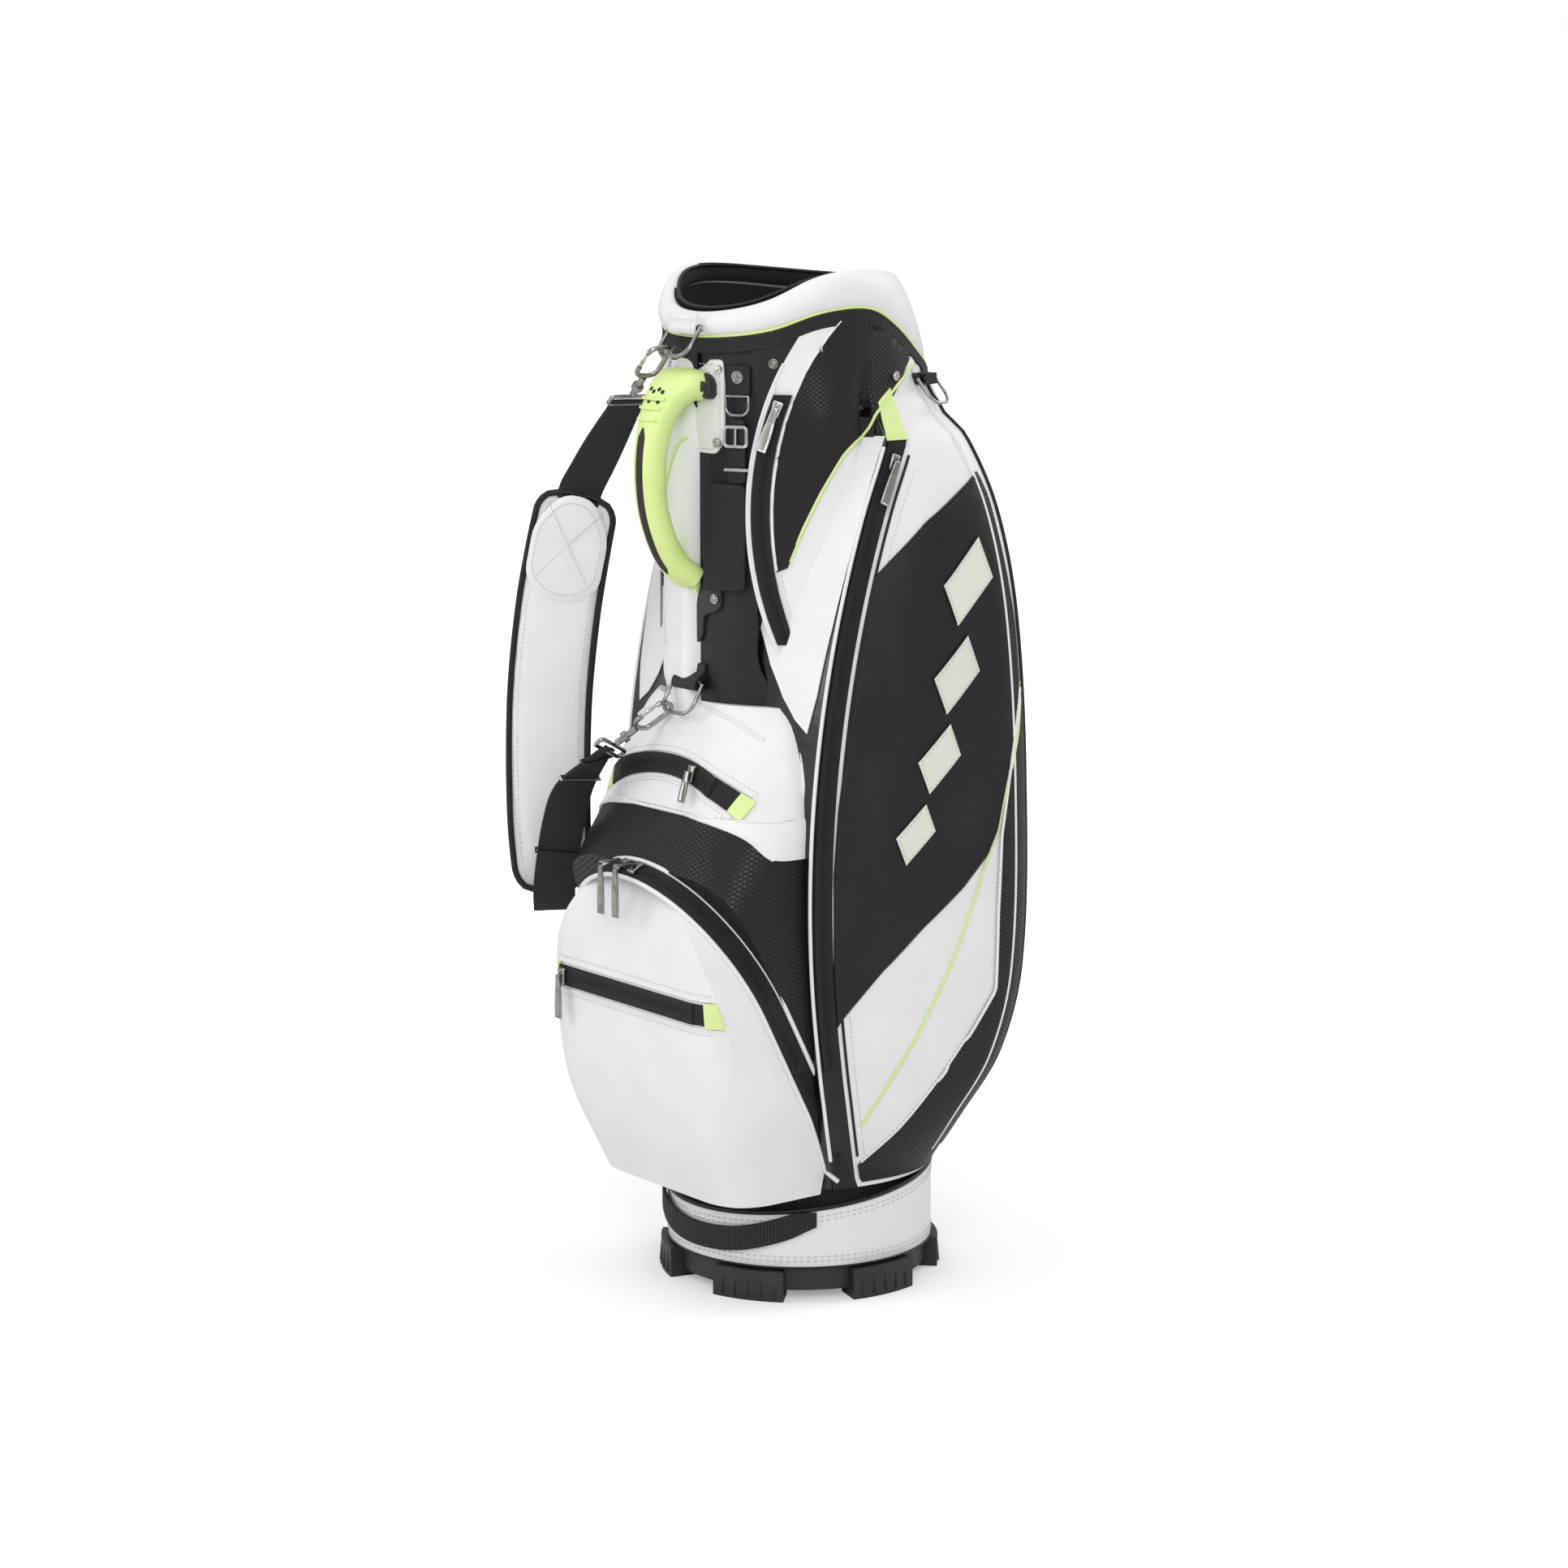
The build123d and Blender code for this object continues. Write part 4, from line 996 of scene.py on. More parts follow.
def belly_details(cover_obj, gusset, upper):
    cover = Cover(cover_obj)
    for name, radius, near, leg in (("inner", ARCH_R + 1.4, 21.0, 190.0), ("outer", ARCH_R + 3.2, -1.4, 205.0)):
        line = [on_leg(cover, p + ARCH_OUT * near) for p in arch_line(radius, 36, leg, 24)]
        cord_round("ball_zip_%s_piping" % name, [p for p in line if p.z > (110 if near > 0 else 165)], 2.1, WHITE, "bag")
    for label, sign in SIDES:
        leg = [(-117.6 - 0.4592 * a - 0.8884 * n, 276.95 + 0.8884 * a - 0.4592 * n)
               for a, n in ((-48, 1.0), (-48, 19.0), (-190, 19.0), (-190, 1.0))]
        panel("ball_zip_leg_" + label, cover_obj, side_view(sign), leg, TAPE, 0.3, 1.2, facing=-0.1)
    panel("ball_front_zip_end_tape", cover_obj, FRONT, [(96, 285), (114, 285), (117, 267), (96, 267)], TAPE, 0.3, 1.5)
    for z, name in ((288.5, "upper"), (263.5, "lower")):
        line = FRONT.lay(cover, [(-108 + 6 * k, z) for k in range(39)], 0.5, 6.0)
        cord_round("ball_front_zip_%s_piping" % name, line, 1.2, WHITE, "bag")
        away = 4.5 if name == "upper" else -4.5
        line = FRONT.lay(cover, [(-106 + 4 * k, z + away) for k in range(57)], 0.35, 2.0)
        stitches("ball_front_zip_%s_seam" % name, line)
    panel("ball_zip_end_right", cover_obj, FRONT, [(109, 287), (119, 286.5), (123, 265.5), (110, 265)], LIME, 1.4, 1.6)
    panel("ball_zip_end_left", cover_obj, FRONT, [(-98, 287.5), (-104, 288), (-104, 264.5), (-98, 264.5)], LIME, 0.6, 2.2)
    stomach = Cover(upper, gusset)
    welt = [(-124, 404), (-108, 420), (-84, 428), (-50, 433), (0, 436), (50, 433), (84, 428), (108, 420), (124, 404)]
    smooth_welt = [tuple(p[:2]) for p in curved([(u, z, 0) for u, z in welt], 5)]
    cord_round("mesh_band_piping", FRONT.lay(stomach, smooth_welt, 0.8, 5.0), 1.7, WHITE, "bag")
    band = smooth_welt + [(140, 396), (140, 470), (60, 470), (0, 470), (-60, 470), (-140, 470), (-140, 396)]
    panel("belly_white_panel", gusset, FRONT, band, WHITE, 0.4, 1.3, facing=-0.4)
    ring = [Vector((p.x, p.y, 435.6)) for p in belly_ring(435.6, 0.9) if p.y < -64]
    front = sorted(ring, key=lambda p: atan2(p.x, -p.y))
    cord_round("belly_cross_piping", front, 1.5, WHITE, "bag")
    r = 186.0
    for label, shift in (("upper", 10.5), ("lower", -10.5)):
        line = []
        for k in range(-32, 33):
            a = radians(k)
            line.append(((r + shift) * sin(a), 472 - r + (r + shift) * cos(a)))
        cord_round("front_zip_%s_piping" % label, FRONT.lay(Cover(upper), line, 0.4, 5.0), 1.2, WHITE, "bag")
        far = shift + (4.0 if shift > 0 else -4.0)
        line = [((r + far) * sin(radians(k)), 472 - r + (r + far) * cos(radians(k))) for k in range(-32, 33)]
        stitches("front_zip_%s_seam" % label, FRONT.lay(Cover(upper), line, 0.3, 2.0))
    for label, sign in SIDES:
        strip = [(sign * (r + d) * sin(radians(a)), 472 - r + (r + d) * cos(radians(a)))
                 for d, a in ((8.6, 20), (8.6, 24), (8.6, 28.5), (-8.6, 28.5), (-8.6, 24), (-8.6, 20))]
        panel("front_zip_end_tape_" + label, upper, FRONT, strip, TAPE, 0.3, 1.8)
        a0, a1 = 28.0, 32.0
        tab = [(sign * (r + d) * sin(radians(a)), 472 - r + (r + d) * cos(radians(a)))
               for d, a in ((9, a0), (9, a1), (-9, a1 + 1), (-9, a0))]
        panel("front_zip_end_" + label, upper, FRONT, tab, LIME, 0.7, 1.8)
    top = []
    for k in range(-10, 11):
        u = 9.0 * k
        found = FRONT.lay(Cover(upper), [(u, 523 - 22 * (k / 10.0)**2), (u + 0.01, 523 - 22 * (k / 10.0)**2)], 0.6, 1.0)
        if found:
            top.append(found[0])
    cord_round("belly_top_piping", top, 1.6, WHITE, "bag")


# ---------------------------------------------------------------- cuff, webbing, band


def round_angles(count=144):
    return [2 * pi * k / count for k in range(count)]


def cuff():
    """Padded cuff: it swells outside, rolls over the rim and ends inside the mouth."""
    rows = []
    for angle in round_angles():
        low = on_curve(angle, CUFF_LOW)
        rim = on_curve(angle, RIM)
        tall = rim.z - low.z
        profile = [(-2.6, 0.0), (1.0, 0.0), (3.6, 0.10), (5.4, 0.28), (6.0, 0.5), (5.0, 0.74), (2.6, 0.93)]
        row = [collar_point(angle, low.z + tall * share, off) for off, share in profile]
        for off, up in ((-0.6, 3.2), (-4.6, 4.6), (-8.4, 3.6), (-11.2, 0.4), (-12.0, -5), (-11.4, -11), (-7.2, -15)):
            row.append(collar_point(angle, rim.z + up - 2.0, off))
        row.append(collar_point(angle, rim.z - 17, -3.2))
        rows.append(row)
    obj = skin("cuff_pad", rows + [rows[0]], closed=True, caps=False)
    made = bmesh.new()
    made.from_mesh(obj.data)
    bmesh.ops.remove_doubles(made, verts=made.verts, dist=1e-6)
    made.to_mesh(obj.data)
    made.free()
    outward(obj)
    modify(obj, "SUBSURF", levels=1, render_levels=1)
    paint(obj, WHITE, LINING)
    for f in obj.data.polygons:
        c = f.center / MM
        angle = atan2(c.x, -(c.y + 18))
        rim = on_curve(angle, RIM)
        mid = collar_point(angle, c.z, -10.0)
        if c.z < rim.z + 1.0 and sqrt(c.x**2 + (c.y + 18)**2) < sqrt(mid.x**2 + (mid.y + 18)**2) + 1.2:
            f.material_index = 1
    smooth(obj, 60.0)
    body(obj, "bag", "top_cuff")
    low = [on_curve(a, CUFF_LOW, 0.3, 1.2) for a in round_angles()]
    cord_round("cuff_lime_piping", low, 1.35, LIME, "bag", True)
    rim_in = [on_curve(a, RIM, 0.6, -12.2) for a in round_angles()]
    cord_round("mouth_binding", rim_in, 1.5, BLACK, "bag", True)
    return obj


def cuff_webbing():
    rows = []
    for angle in round_angles():
        row = []
        for drop, off in ((0.4, -2.6), (0.4, 0.9), (1.6, 1.9), (WEBBING_H - 1.4, 1.9), (WEBBING_H, 0.9), (WEBBING_H, -2.6)):
            row.append(on_curve(angle, CUFF_LOW, drop, off))
        rows.append(row)
    obj = outward(skin("cuff_webbing_band", rows + [rows[0]], closed=True, caps=False))
    paint(obj, BAND)
    smooth(obj, 40.0)
    body(obj, "bag", "cuff_webbing")
    for drop in (2.6, WEBBING_H - 2.4):
        line = [on_curve(a, CUFF_LOW, drop, 2.3) for a in round_angles(180)]
        stitches("cuff_webbing_seam_%d" % drop, line + line[:1], DARK_THREAD)
    return obj


def shoulder_cover():
    """White leather under the webbing, round the sides and back between the pockets."""
    rows = []
    for k in range(12):
        t = k / 11
        row = []
        for s in range(121):
            angle = radians(50 + 260 * s / 120)
            top = on_curve(angle, CUFF_LOW, WEBBING_H - 1.0, 0.5)
            z = 756 + (top.z - 756) * t
            if z < TUBE_TOP:
                row.append(Vector((115.6 * sin(angle), -115.6 * cos(angle), z)))
            else:
                row.append(collar_point(angle, z, 0.2 - 1.8 * (1 - soft_step((z - TUBE_TOP) / 16))))
        rows.append(row)
    obj = skin("shoulder_cover", rows, closed=False)
    modify(obj, "SOLIDIFY", thickness=0.8 * MM, offset=-1.0)
    paint(obj, WHITE)
    smooth(obj, 40.0)
    return body(obj, "bag")


def band_top(y):
    return 90.0 + 14.0 * y / 113.5


def base_band():
    rows = []
    for angle in round_angles(120):
        x, y = sin(angle), -cos(angle)
        top = band_top(y * 118.0) - 1.0
        row = []
        for r, z in ((113.8, 29.2), (117.0, 29.0), (118.4, 30.6), (118.7, 44), (118.7, top - 14), (118.4, top - 2.0),
                     (117.0, top), (113.8, top)):
            row.append(Vector((x * r, y * r, z)))
        rows.append(row)
    obj = outward(skin("base_band_cover", rows + [rows[0]], closed=True, caps=False))
    paint(obj, WHITE)
    smooth(obj, 40.0)
    body(obj, "bag", "base_band")
    for name, z_of in (("low", lambda y: 35.5), ("low_second", lambda y: 39.5), ("high", lambda y: band_top(y) - 7.0),
                       ("high_second", lambda y: band_top(y) - 11.0)):
        line = [Vector((118.9 * sin(a), -118.9 * cos(a), z_of(-118 * cos(a)))) for a in round_angles(180)]
        stitches("base_band_seam_" + name, line + line[:1], pitch=6.0, length=4.0, radius=0.5)
    top = [Vector((118.0 * sin(a), -118.0 * cos(a), band_top(-118 * cos(a)) + 0.2)) for a in round_angles(120)]
    cord_round("base_band_top_piping", top, 2.1, BLACK, "bag", True)
    low = [Vector((118.0 * sin(a), -118.0 * cos(a), 29.4)) for a in round_angles(120)]
    cord_round("base_band_low_piping", low, 1.4, BLACK, "bag", True)
    return obj


def lift_loop():
    """Webbing handle that hangs in front of the base band, sewn down at its ends."""
    low = [(-96, 74), (-70, 57), (-35, 46), (5, 41), (50, 43), (85, 54), (104, 67)]
    rows = []
    for p in curved([(x, z, 0) for x, z in low], 9):
        angle = atan2(p.x, sqrt(max(1.0, 121.2**2 - p.x**2)))
        belly_out = 2.6 * (1 - (p.x / 104)**2)
        row = []
        for r, dz in ((119.6, 0), (120.6, -0.2), (122.0, 0.3), (122.4, 2), (122.4, 19), (122.0, 21.6), (120.6, 22.2),
                      (119.6, 22)):
            reach = r + belly_out
            row.append(Vector((reach * sin(angle), -reach * cos(angle), min(p.y + dz, 79.0 + r * 0.01))))
        rows.append(row)
    obj = outward(skin("lift_loop_webbing", rows))
    paint(obj, WEB)
    smooth(obj, 45.0)
    return body(obj, "bag", "lift_loop")


# ---------------------------------------------------------------- zips


def teeth(name, places, rides="bag", pitch=2.3):
    """Two rows of moulded teeth along a zip. Each place is a point, its out and its across."""
    points, faces = [], []
    run = 0.0
    last = places[0]
    spots = []
    for here in places[1:]:
        gap = (here[0] - last[0]).length
        while run + gap >= pitch:
            t = (pitch - run) / gap
            last = (last[0].lerp(here[0], t), last[1], last[2])
            spots.append((last[0], here[1], here[2]))
            gap = (here[0] - last[0]).length
            run = 0.0
        run += gap
        last = here
    for k, (at, out, across) in enumerate(spots):
        along = out.cross(across).normalized()
        for side in (-1, 1):
            base = len(points)
            mid = at + across * (side * 1.25) + along * (0.55 * side)
            for a, b, c in ((-1, -1, 0), (1, -1, 0), (1, 1, 0), (-1, 1, 0), (-0.7, -0.6, 1), (0.7, -0.6, 1),
                            (0.7, 0.6, 1), (-0.7, 0.6, 1)):
                points.append(mid + across * (a * 1.55) + along * (b * 0.62) + out * (c * 1.1))
            for f in ((3, 2, 1, 0), (4, 5, 6, 7), (0, 1, 5, 4), (1, 2, 6, 5), (2, 3, 7, 6), (3, 0, 4, 7)):
                faces.append(tuple(base + v for v in f))
    obj = outward(mesh_object(name, points, faces))
    paint(obj, PLASTIC)
    return body(obj, rides)


def zip_rows(cover):
    for label, sign in SIDES:
        out = Vector((sign, 0, 0))
        run = []
        for k in range(120):
            z = 217 + 533 * k / 119
            tangent = Vector((0, z - 360, 918 - zip_y(z))).normalized()
            run.append((Vector((138.3 * sign, zip_y(z), z)), out, tangent.cross(out)))
        teeth("garment_zip_teeth_" + label, run)
        view = facet_view(sign)
        run = []
        for k in range(70):
            z = 582 + 208 * k / 69
            u = upper_zip_u(z)
            tangent = (view.along * (z - 690) + Vector((0, 0, 1)) * (268.0 - u)).normalized()
            run.append((view.along * u + view.out * 120.8 + Vector((0, 0, z)), view.out, tangent.cross(view.out)))
        teeth("upper_zip_teeth_" + label, run)
    run = []
    for p in arch_line(ARCH_R + 2.6, 60, 186.0, 44):
        flat = p - ARCH_CENTRE
        rise = flat.dot(ARCH_UP)
        out = (flat - ARCH_UP * min(0.0, rise)).normalized()
        if p.z > 226:
            run.append((p + ARCH_OUT * 10.0, out, ARCH_OUT))
        elif cover:
            run.append((on_leg(cover, p + ARCH_OUT * 10.0) + out * 0.4, out, ARCH_OUT))
    teeth("ball_zip_teeth", run)
    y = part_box("ball_front_zip")[0].y / MM
    run = [(Vector((-97 + 194 * k / 60, y - 0.1, 276)), Vector((0, -1, 0)), Vector((0, 0, 1))) for k in range(61)]
    teeth("ball_front_zip_teeth", run)
    out = Vector((1, 0, 0)).cross(Vector((0, 11, 42)).normalized())
    up = Vector((0, 11, 42)).normalized()
    seat = 141.0 + 11.0 * 2.0 / 42.0 + 0.3
    centre = Vector((0, -seat, 472)) - up * 186.0
    run = []
    for k in range(41):
        a = radians(-20.6 + 41.2 * k / 40)
        way = Vector((1, 0, 0)) * sin(a) + up * cos(a)
        run.append((centre + way * 186.0 + out * 2.3, out, way))
    teeth("upper_front_zip_teeth", run)


# ---------------------------------------------------------------- bought metal parts


def block(name, size, corner=0.0, segments=3):
    """A cube of a size in millimetres, its edges rounded, as the start of a part."""
    deselect()
    bpy.ops.mesh.primitive_cube_add(size=1, location=(0, 0, 0))
    obj = bpy.context.object
    obj.name = name
    obj.scale = [c * MM for c in size]
    settle(obj)
    if corner:
        modify(obj, "BEVEL", width=corner * MM, segments=segments, limit_method="NONE")
    return obj


def seat(obj, origin, x_dir, z_dir):
    """Moves a part from its own axes to a place on the bag, and leaves it untransformed."""
    x, z = Vector(x_dir).normalized(), Vector(z_dir).normalized()
    y = z.cross(x)
    turn = Matrix((x, y, z)).transposed().to_4x4()
    obj.data.transform(Matrix.Translation(Vector(origin) * MM) @ turn)
    return obj


def shape_pull():
    """Zip pull: a tapered blade with a sunk face and a slot, hung at its top."""
    obj = block("pull_pattern", (9.4, 39.0, 2.4))
    only(obj)
    made = bmesh.new()
    made.from_mesh(obj.data)
    for v in made.verts:
        if v.co.y > 0:
            v.co.x *= 0.66
    bmesh.ops.subdivide_edges(made, edges=[e for e in made.edges if abs(e.verts[0].co.y - e.verts[1].co.y) > 0.03], cuts=5)
    for v in made.verts:
        t = v.co.y / (19.5 * MM)
        v.co.x *= 1.0 + 0.10 * cos(t * pi * 0.9 + 0.5)
    made.to_mesh(obj.data)
    made.free()
    modify(obj, "BEVEL", width=0.9 * MM, segments=3, limit_method="ANGLE", angle_limit=radians(40))
    made = bmesh.new()
    made.from_mesh(obj.data)
    made.faces.ensure_lookup_table()
    faces = [f for f in made.faces if f.normal.z > 0.9 and f.calc_center_median().y < 6 * MM
             and f.calc_center_median().y > -16.5 * MM and abs(f.calc_center_median().x) < 1.5 * MM]
    bmesh.ops.inset_region(made, faces=faces, thickness=1.3 * MM, depth=-0.7 * MM)
    made.to_mesh(obj.data)
    made.free()
    return smooth(obj, 35.0)


def shape_slider():
    """Zip slider: a shield-shaped body with a bridge over it."""
    body_part = block("slider_pattern", (9.4, 14.4, 4.2))
    for v in body_part.data.vertices:
        if v.co.y < 0:
            v.co.x *= 0.72
    modify(body_part, "BEVEL", width=1.3 * MM, segments=3, limit_method="NONE")
    deselect()
    bpy.ops.mesh.primitive_torus_add(major_radius=3.4 * MM, minor_radius=0.75 * MM, major_segments=20, minor_segments=8,
                                     rotation=(0, pi / 2, 0), location=(0, 0.8 * MM, 1.6 * MM))
    loop = bpy.context.object
    settle(loop)
    for v in loop.data.vertices:
        v.co.z = min(v.co.z, 3.1 * MM)
    only(body_part)
    loop.select_set(True)
    bpy.ops.object.join()
    return smooth(bpy.context.object, 35.0)


def copy_of(pattern, name):
    obj = pattern.copy()
    obj.data = pattern.data.copy()
    obj.name = name
    bpy.context.scene.collection.objects.link(obj)
    return obj


def axes_of(node):
    low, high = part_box(node)
    return (low + high) * (0.5 / MM), (high - low) / MM


def zip_hardware():
    """Sliders and pulls, each seated on its own CAD part."""
    pull, slider = shape_pull(), shape_slider()
    places = []
    for label, sign in SIDES:
        out = Vector((sign, 0, 0))
        tangent = Vector((0, 735 - 360, 918 - zip_y(735))).normalized()
        at = Vector((136 * sign, zip_y(735), 735))
        places.append(("garment_%s_" + label, at, out, tangent, 42.0, METAL, 0.0))
        view = facet_view(sign)
        u = upper_zip_u(780)
        tangent = (view.along * 90 + Vector((0, 0, 1)) * (268 - u)).normalized()
        places.append(("upper_%s_" + label, view.along * u + view.out * 118.5 + Vector((0, 0, 780)), view.out, tangent,
                       42.0, BRIGHT, 0.0))
    y = (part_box("ball_front_zip")[1].y) / MM
    places.append(("ball_front_%s", Vector((-90, y, 276)), Vector((0, -1, 0)), Vector((0, 0, 1)), 42.0, METAL, 0.0))
    up = Vector((0, 11, 42)).normalized()
    out = Vector((1, 0, 0)).cross(up)
    seat_y = 141.0 + 11.0 * 2.0 / 42.0 + 0.3
    centre = Vector((0, -seat_y, 472)) - up * 186.0
    a = radians(12.0)
    places.append(("upper_front_%s", centre + (Vector((1, 0, 0)) * sin(a) + up * cos(a)) * 186.0, out, up, 30.0, METAL, 0.0))
    for pattern_name, at, out, up_dir, length, finish, _ in places:
        across = up_dir.cross(out)
        name = pattern_name % "slider"
        one = seat(copy_of(slider, name + "_metal"), at + out * (2.5 + 2.4), across, out)
        body(paint(one, finish), name, name)
        name = pattern_name % "pull"
        one = copy_of(pull, name + "_metal")
        one.data.transform(Matrix.Scale((length - 2.5) / 39.0, 4, (0, 1, 0)))
        seat(one, at + out * (8.3 + 1.3) + up_dir * (3 - length / 2), across, out)
        body(paint(one, finish), name, name)
    for label, sign in SIDES:
        a = radians(4.6 * sign)
        out = Vector((1, 0, 0)) * sin(a) + ARCH_UP * cos(a)
        at = ARCH_CENTRE + out * (ARCH_R + 0.3) + ARCH_OUT * 10.0
        name = "ball_slider_" + label
        side = Vector((1, 0, 0)) * -cos(a) + ARCH_UP * sin(a)
        one = seat(copy_of(slider, name + "_metal"), at + out * 4.9, side, out)
        body(paint(one, METAL), name, name)
        name = "ball_pull_" + label
        middle, size = axes_of(name)
        low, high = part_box(name)
        one = copy_of(pull, name + "_metal")
        one.data.transform(Matrix.Scale(43.0 / 39.0, 4, (0, 1, 0)))
        seat(one, (middle.x, low.y / MM + 1.3, high.z / MM - 25.0), (1, 0, 0), (0, -1, 0))
        arm = block(name + "_arm", (5.6, 20.5, 2.0), 0.6)
        seat(arm, (middle.x, low.y / MM + 11.6, high.z / MM - 1.0), (1, 0, 0), (0, 0, 1))
        only(one)
        arm.select_set(True)
        bpy.ops.object.join()
        smooth(one, 35.0)
        body(paint(one, METAL), name, name)
    bpy.data.objects.remove(pull)
    bpy.data.objects.remove(slider)


def ring_line(width, height, wire, radius):
    """A D ring's line in its own plane, the bar on top at y = 0."""
    half = width / 2 - wire / 2
    low = wire / 2 - (height - wire / 2) + wire / 2
    pts = [(-half, 0), (half, 0), (half, low + radius)]
    for k in range(9):
        a = radians(90 * k / 8)
        pts.append((half - radius + radius * cos(a), low + radius - radius * sin(a)))
    for k in range(9):
        a = radians(90 * k / 8)
        pts.append((-half + radius - radius * sin(a), low + radius - radius * cos(a)))
    return pts


def metal_ring(name, node, rides, origin, x_dir, z_dir, width, height, wire, radius, finish=METAL):
    x, z = Vector(x_dir).normalized(), Vector(z_dir).normalized()
    y = z.cross(x)
    line = [Vector(origin) + x * a + y * b for a, b in ring_line(width, height, wire, radius)]
    line.append(line[0] + (line[1] - line[0]) * 0.5)
    line = line[-1:] + line[1:-1] + line[:1]
    obj = cord_round(name, line, wire / 2, finish, rides, True, 8)
    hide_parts(node)
    return obj


HOOKS = (("top", (0.0, -123.0, 846.0), 35.0, (-58.0, -140.5, 782.0)), ("lower", (0.0, -122.4, 541.0), 30.0, (-52.0, -168.0, 482.0)))
WIRE, RING_W, RING_H = 3.8, 46.0, 34.0


def ring_corner(at, tilt):
    radius = 0.42 * RING_H
    slack = (radius - WIRE / 2) * cos(radians(45))
    t = radians(tilt)
    z_dir = Vector((0, -cos(t), sin(t)))
    y_dir = z_dir.cross(Vector((1, 0, 0)))
    x = -RING_W / 2 + radius - slack
    y = WIRE / 2 - RING_H + radius - slack
    return Vector(at) + Vector((1, 0, 0)) * x + y_dir * y


def snap_hook(label, at, tilt, eye):
    """Trigger hook: a cast bow, its sprung gate, a swivel barrel and a square eye."""
    start = ring_corner(at, tilt)
    down = (Vector(eye) - start).normalized()
    side = (Vector((0, -1, 0)) - down * Vector((0, -1, 0)).dot(down)).normalized()
    length = (Vector(eye) - start).length
    half, nose, bow = 11.0, 4.1, 36.0

    def place(x, y, n=0.0):
        return start + side * x - down * y + side.cross(-down) * n

    line = [(half, -16.8), (half, -21), (half - 1.5, -25), (half - 5.5, nose + 2 - bow + 2.4), (0, nose + 2.2 - bow + 1.4),
            (-half + 5.5, nose + 2 - bow + 2.4), (-half + 1.5, -25), (-half, -20), (-half, -10), (-half, -3),
            (-half + 1.8, 3.2), (-half + 6, nose + 1.7), (0, nose + 2.1), (half - 5.0, nose + 1.5), (half - 1.2, 2.6),
            (half, -0.6)]
    path = curved([place(x, y) for x, y in line], 5)
    hook = cord_round(label + "_hook_metal", path, 2.3, METAL, "strap", False, 8)
    gate_path = [place(half, -1.6), place(half, -16.4)]
    barrel = [place(0, nose + 2.0 - bow - 0.4), place(0, -length + 7.0)]
    stem = cord_round(label + "_hook_stem", barrel, 3.1, METAL, "strap", False, 10)
    collar_at = barrel[0].lerp(barrel[1], 0.55)
    ring = cord_round(label + "_hook_swivel", [collar_at - down * 2.4, collar_at + down * 2.4], 5.2, METAL, "strap", False, 10)
    wide, tall = 21.4, 4.4
    corners = [(-wide, tall), (wide, tall), (wide, -tall), (-wide, -tall)]
    eye_line = [place(p.x, -length + p.y) for p in rounded([Vector((a, b, 0)) for a, b in corners], (3.6,) * 4, 5)]
    eye_obj = cord_round(label + "_hook_eye", eye_line, 1.9, METAL, "strap", True, 8)
    only(hook)
    for part in (stem, ring, eye_obj):
        part.select_set(True)
    bpy.ops.object.join()
    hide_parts(label + "_hook")
    gate = cord_round(label + "_gate_metal", gate_path, 1.5, BRIGHT, label + "_hook_gate", False, 8)
    thumb_at = place(half + 1.9, -11.0)
    thumb = cord_round(label + "_gate_thumb", [place(half + 1.0, -12.4), thumb_at, place(half + 1.0, -9.6)], 1.1, BRIGHT,
                       label + "_hook_gate", False, 6)
    only(gate)
    thumb.select_set(True)
    bpy.ops.object.join()
    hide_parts(label + "_hook_gate")


def rings_and_hooks():
    for label, at, tilt, eye in HOOKS:
        t = radians(tilt)
        name = "top_ring" if label == "top" else "mid_ring"
        metal_ring(name + "_metal", name, name, at, (1, 0, 0), (0, -cos(t), sin(t)), RING_W, RING_H, WIRE, 12.4)
        snap_hook(label, at, tilt, eye)


# ---------------------------------------------------------------- strap


PAD_PATH = [(-136, -140, 694), (-154, -141, 640), (-170, -142, 580), (-185, -141, 500), (-192, -138, 400), (-190, -134, 330)]
PAD_TURNS = [50, 48, 46, 48, 56, 64]
TOP_WEB = [(-92, -141, 745), (-112, -141, 722), (-131, -140.3, 701.5), (-138, -140.4, 688)]
LOW_WEB = [(-90, -180, 444), (-121, -170, 408), (-150, -158, 366), (-170, -148, 334), (-184, -138, 314), (-190, -134, 321), (-190, -134, 338)]


def strap_frames(points, turns, steps=8):
    """Centre, width direction and face direction along a strap."""
    line = curved(points, steps)
    angles = [v.x for v in curved([(t, 0, 0) for t in turns], steps)]
    out = []
    for k, c in enumerate(line):
        a, b = line[max(k - 1, 0)], line[min(k + 1, len(line) - 1)]
        t = (b - a).normalized()
        w = Vector((cos(radians(angles[k])), sin(radians(angles[k])), 0))
        w = (w - t * w.dot(t)).normalized()
        out.append((c, w, t.cross(w), t))
    return out


def pad_half_width(share):
    """Half width of the pad, rounded in at both ends."""
    end = min(share, 1 - share)
    tip = sqrt(max(0.0, 1 - (1 - min(1.0, end / 0.075))**2))
    return (33.5 + 2.0 * sin(pi * share)) * (0.42 + 0.58 * tip)


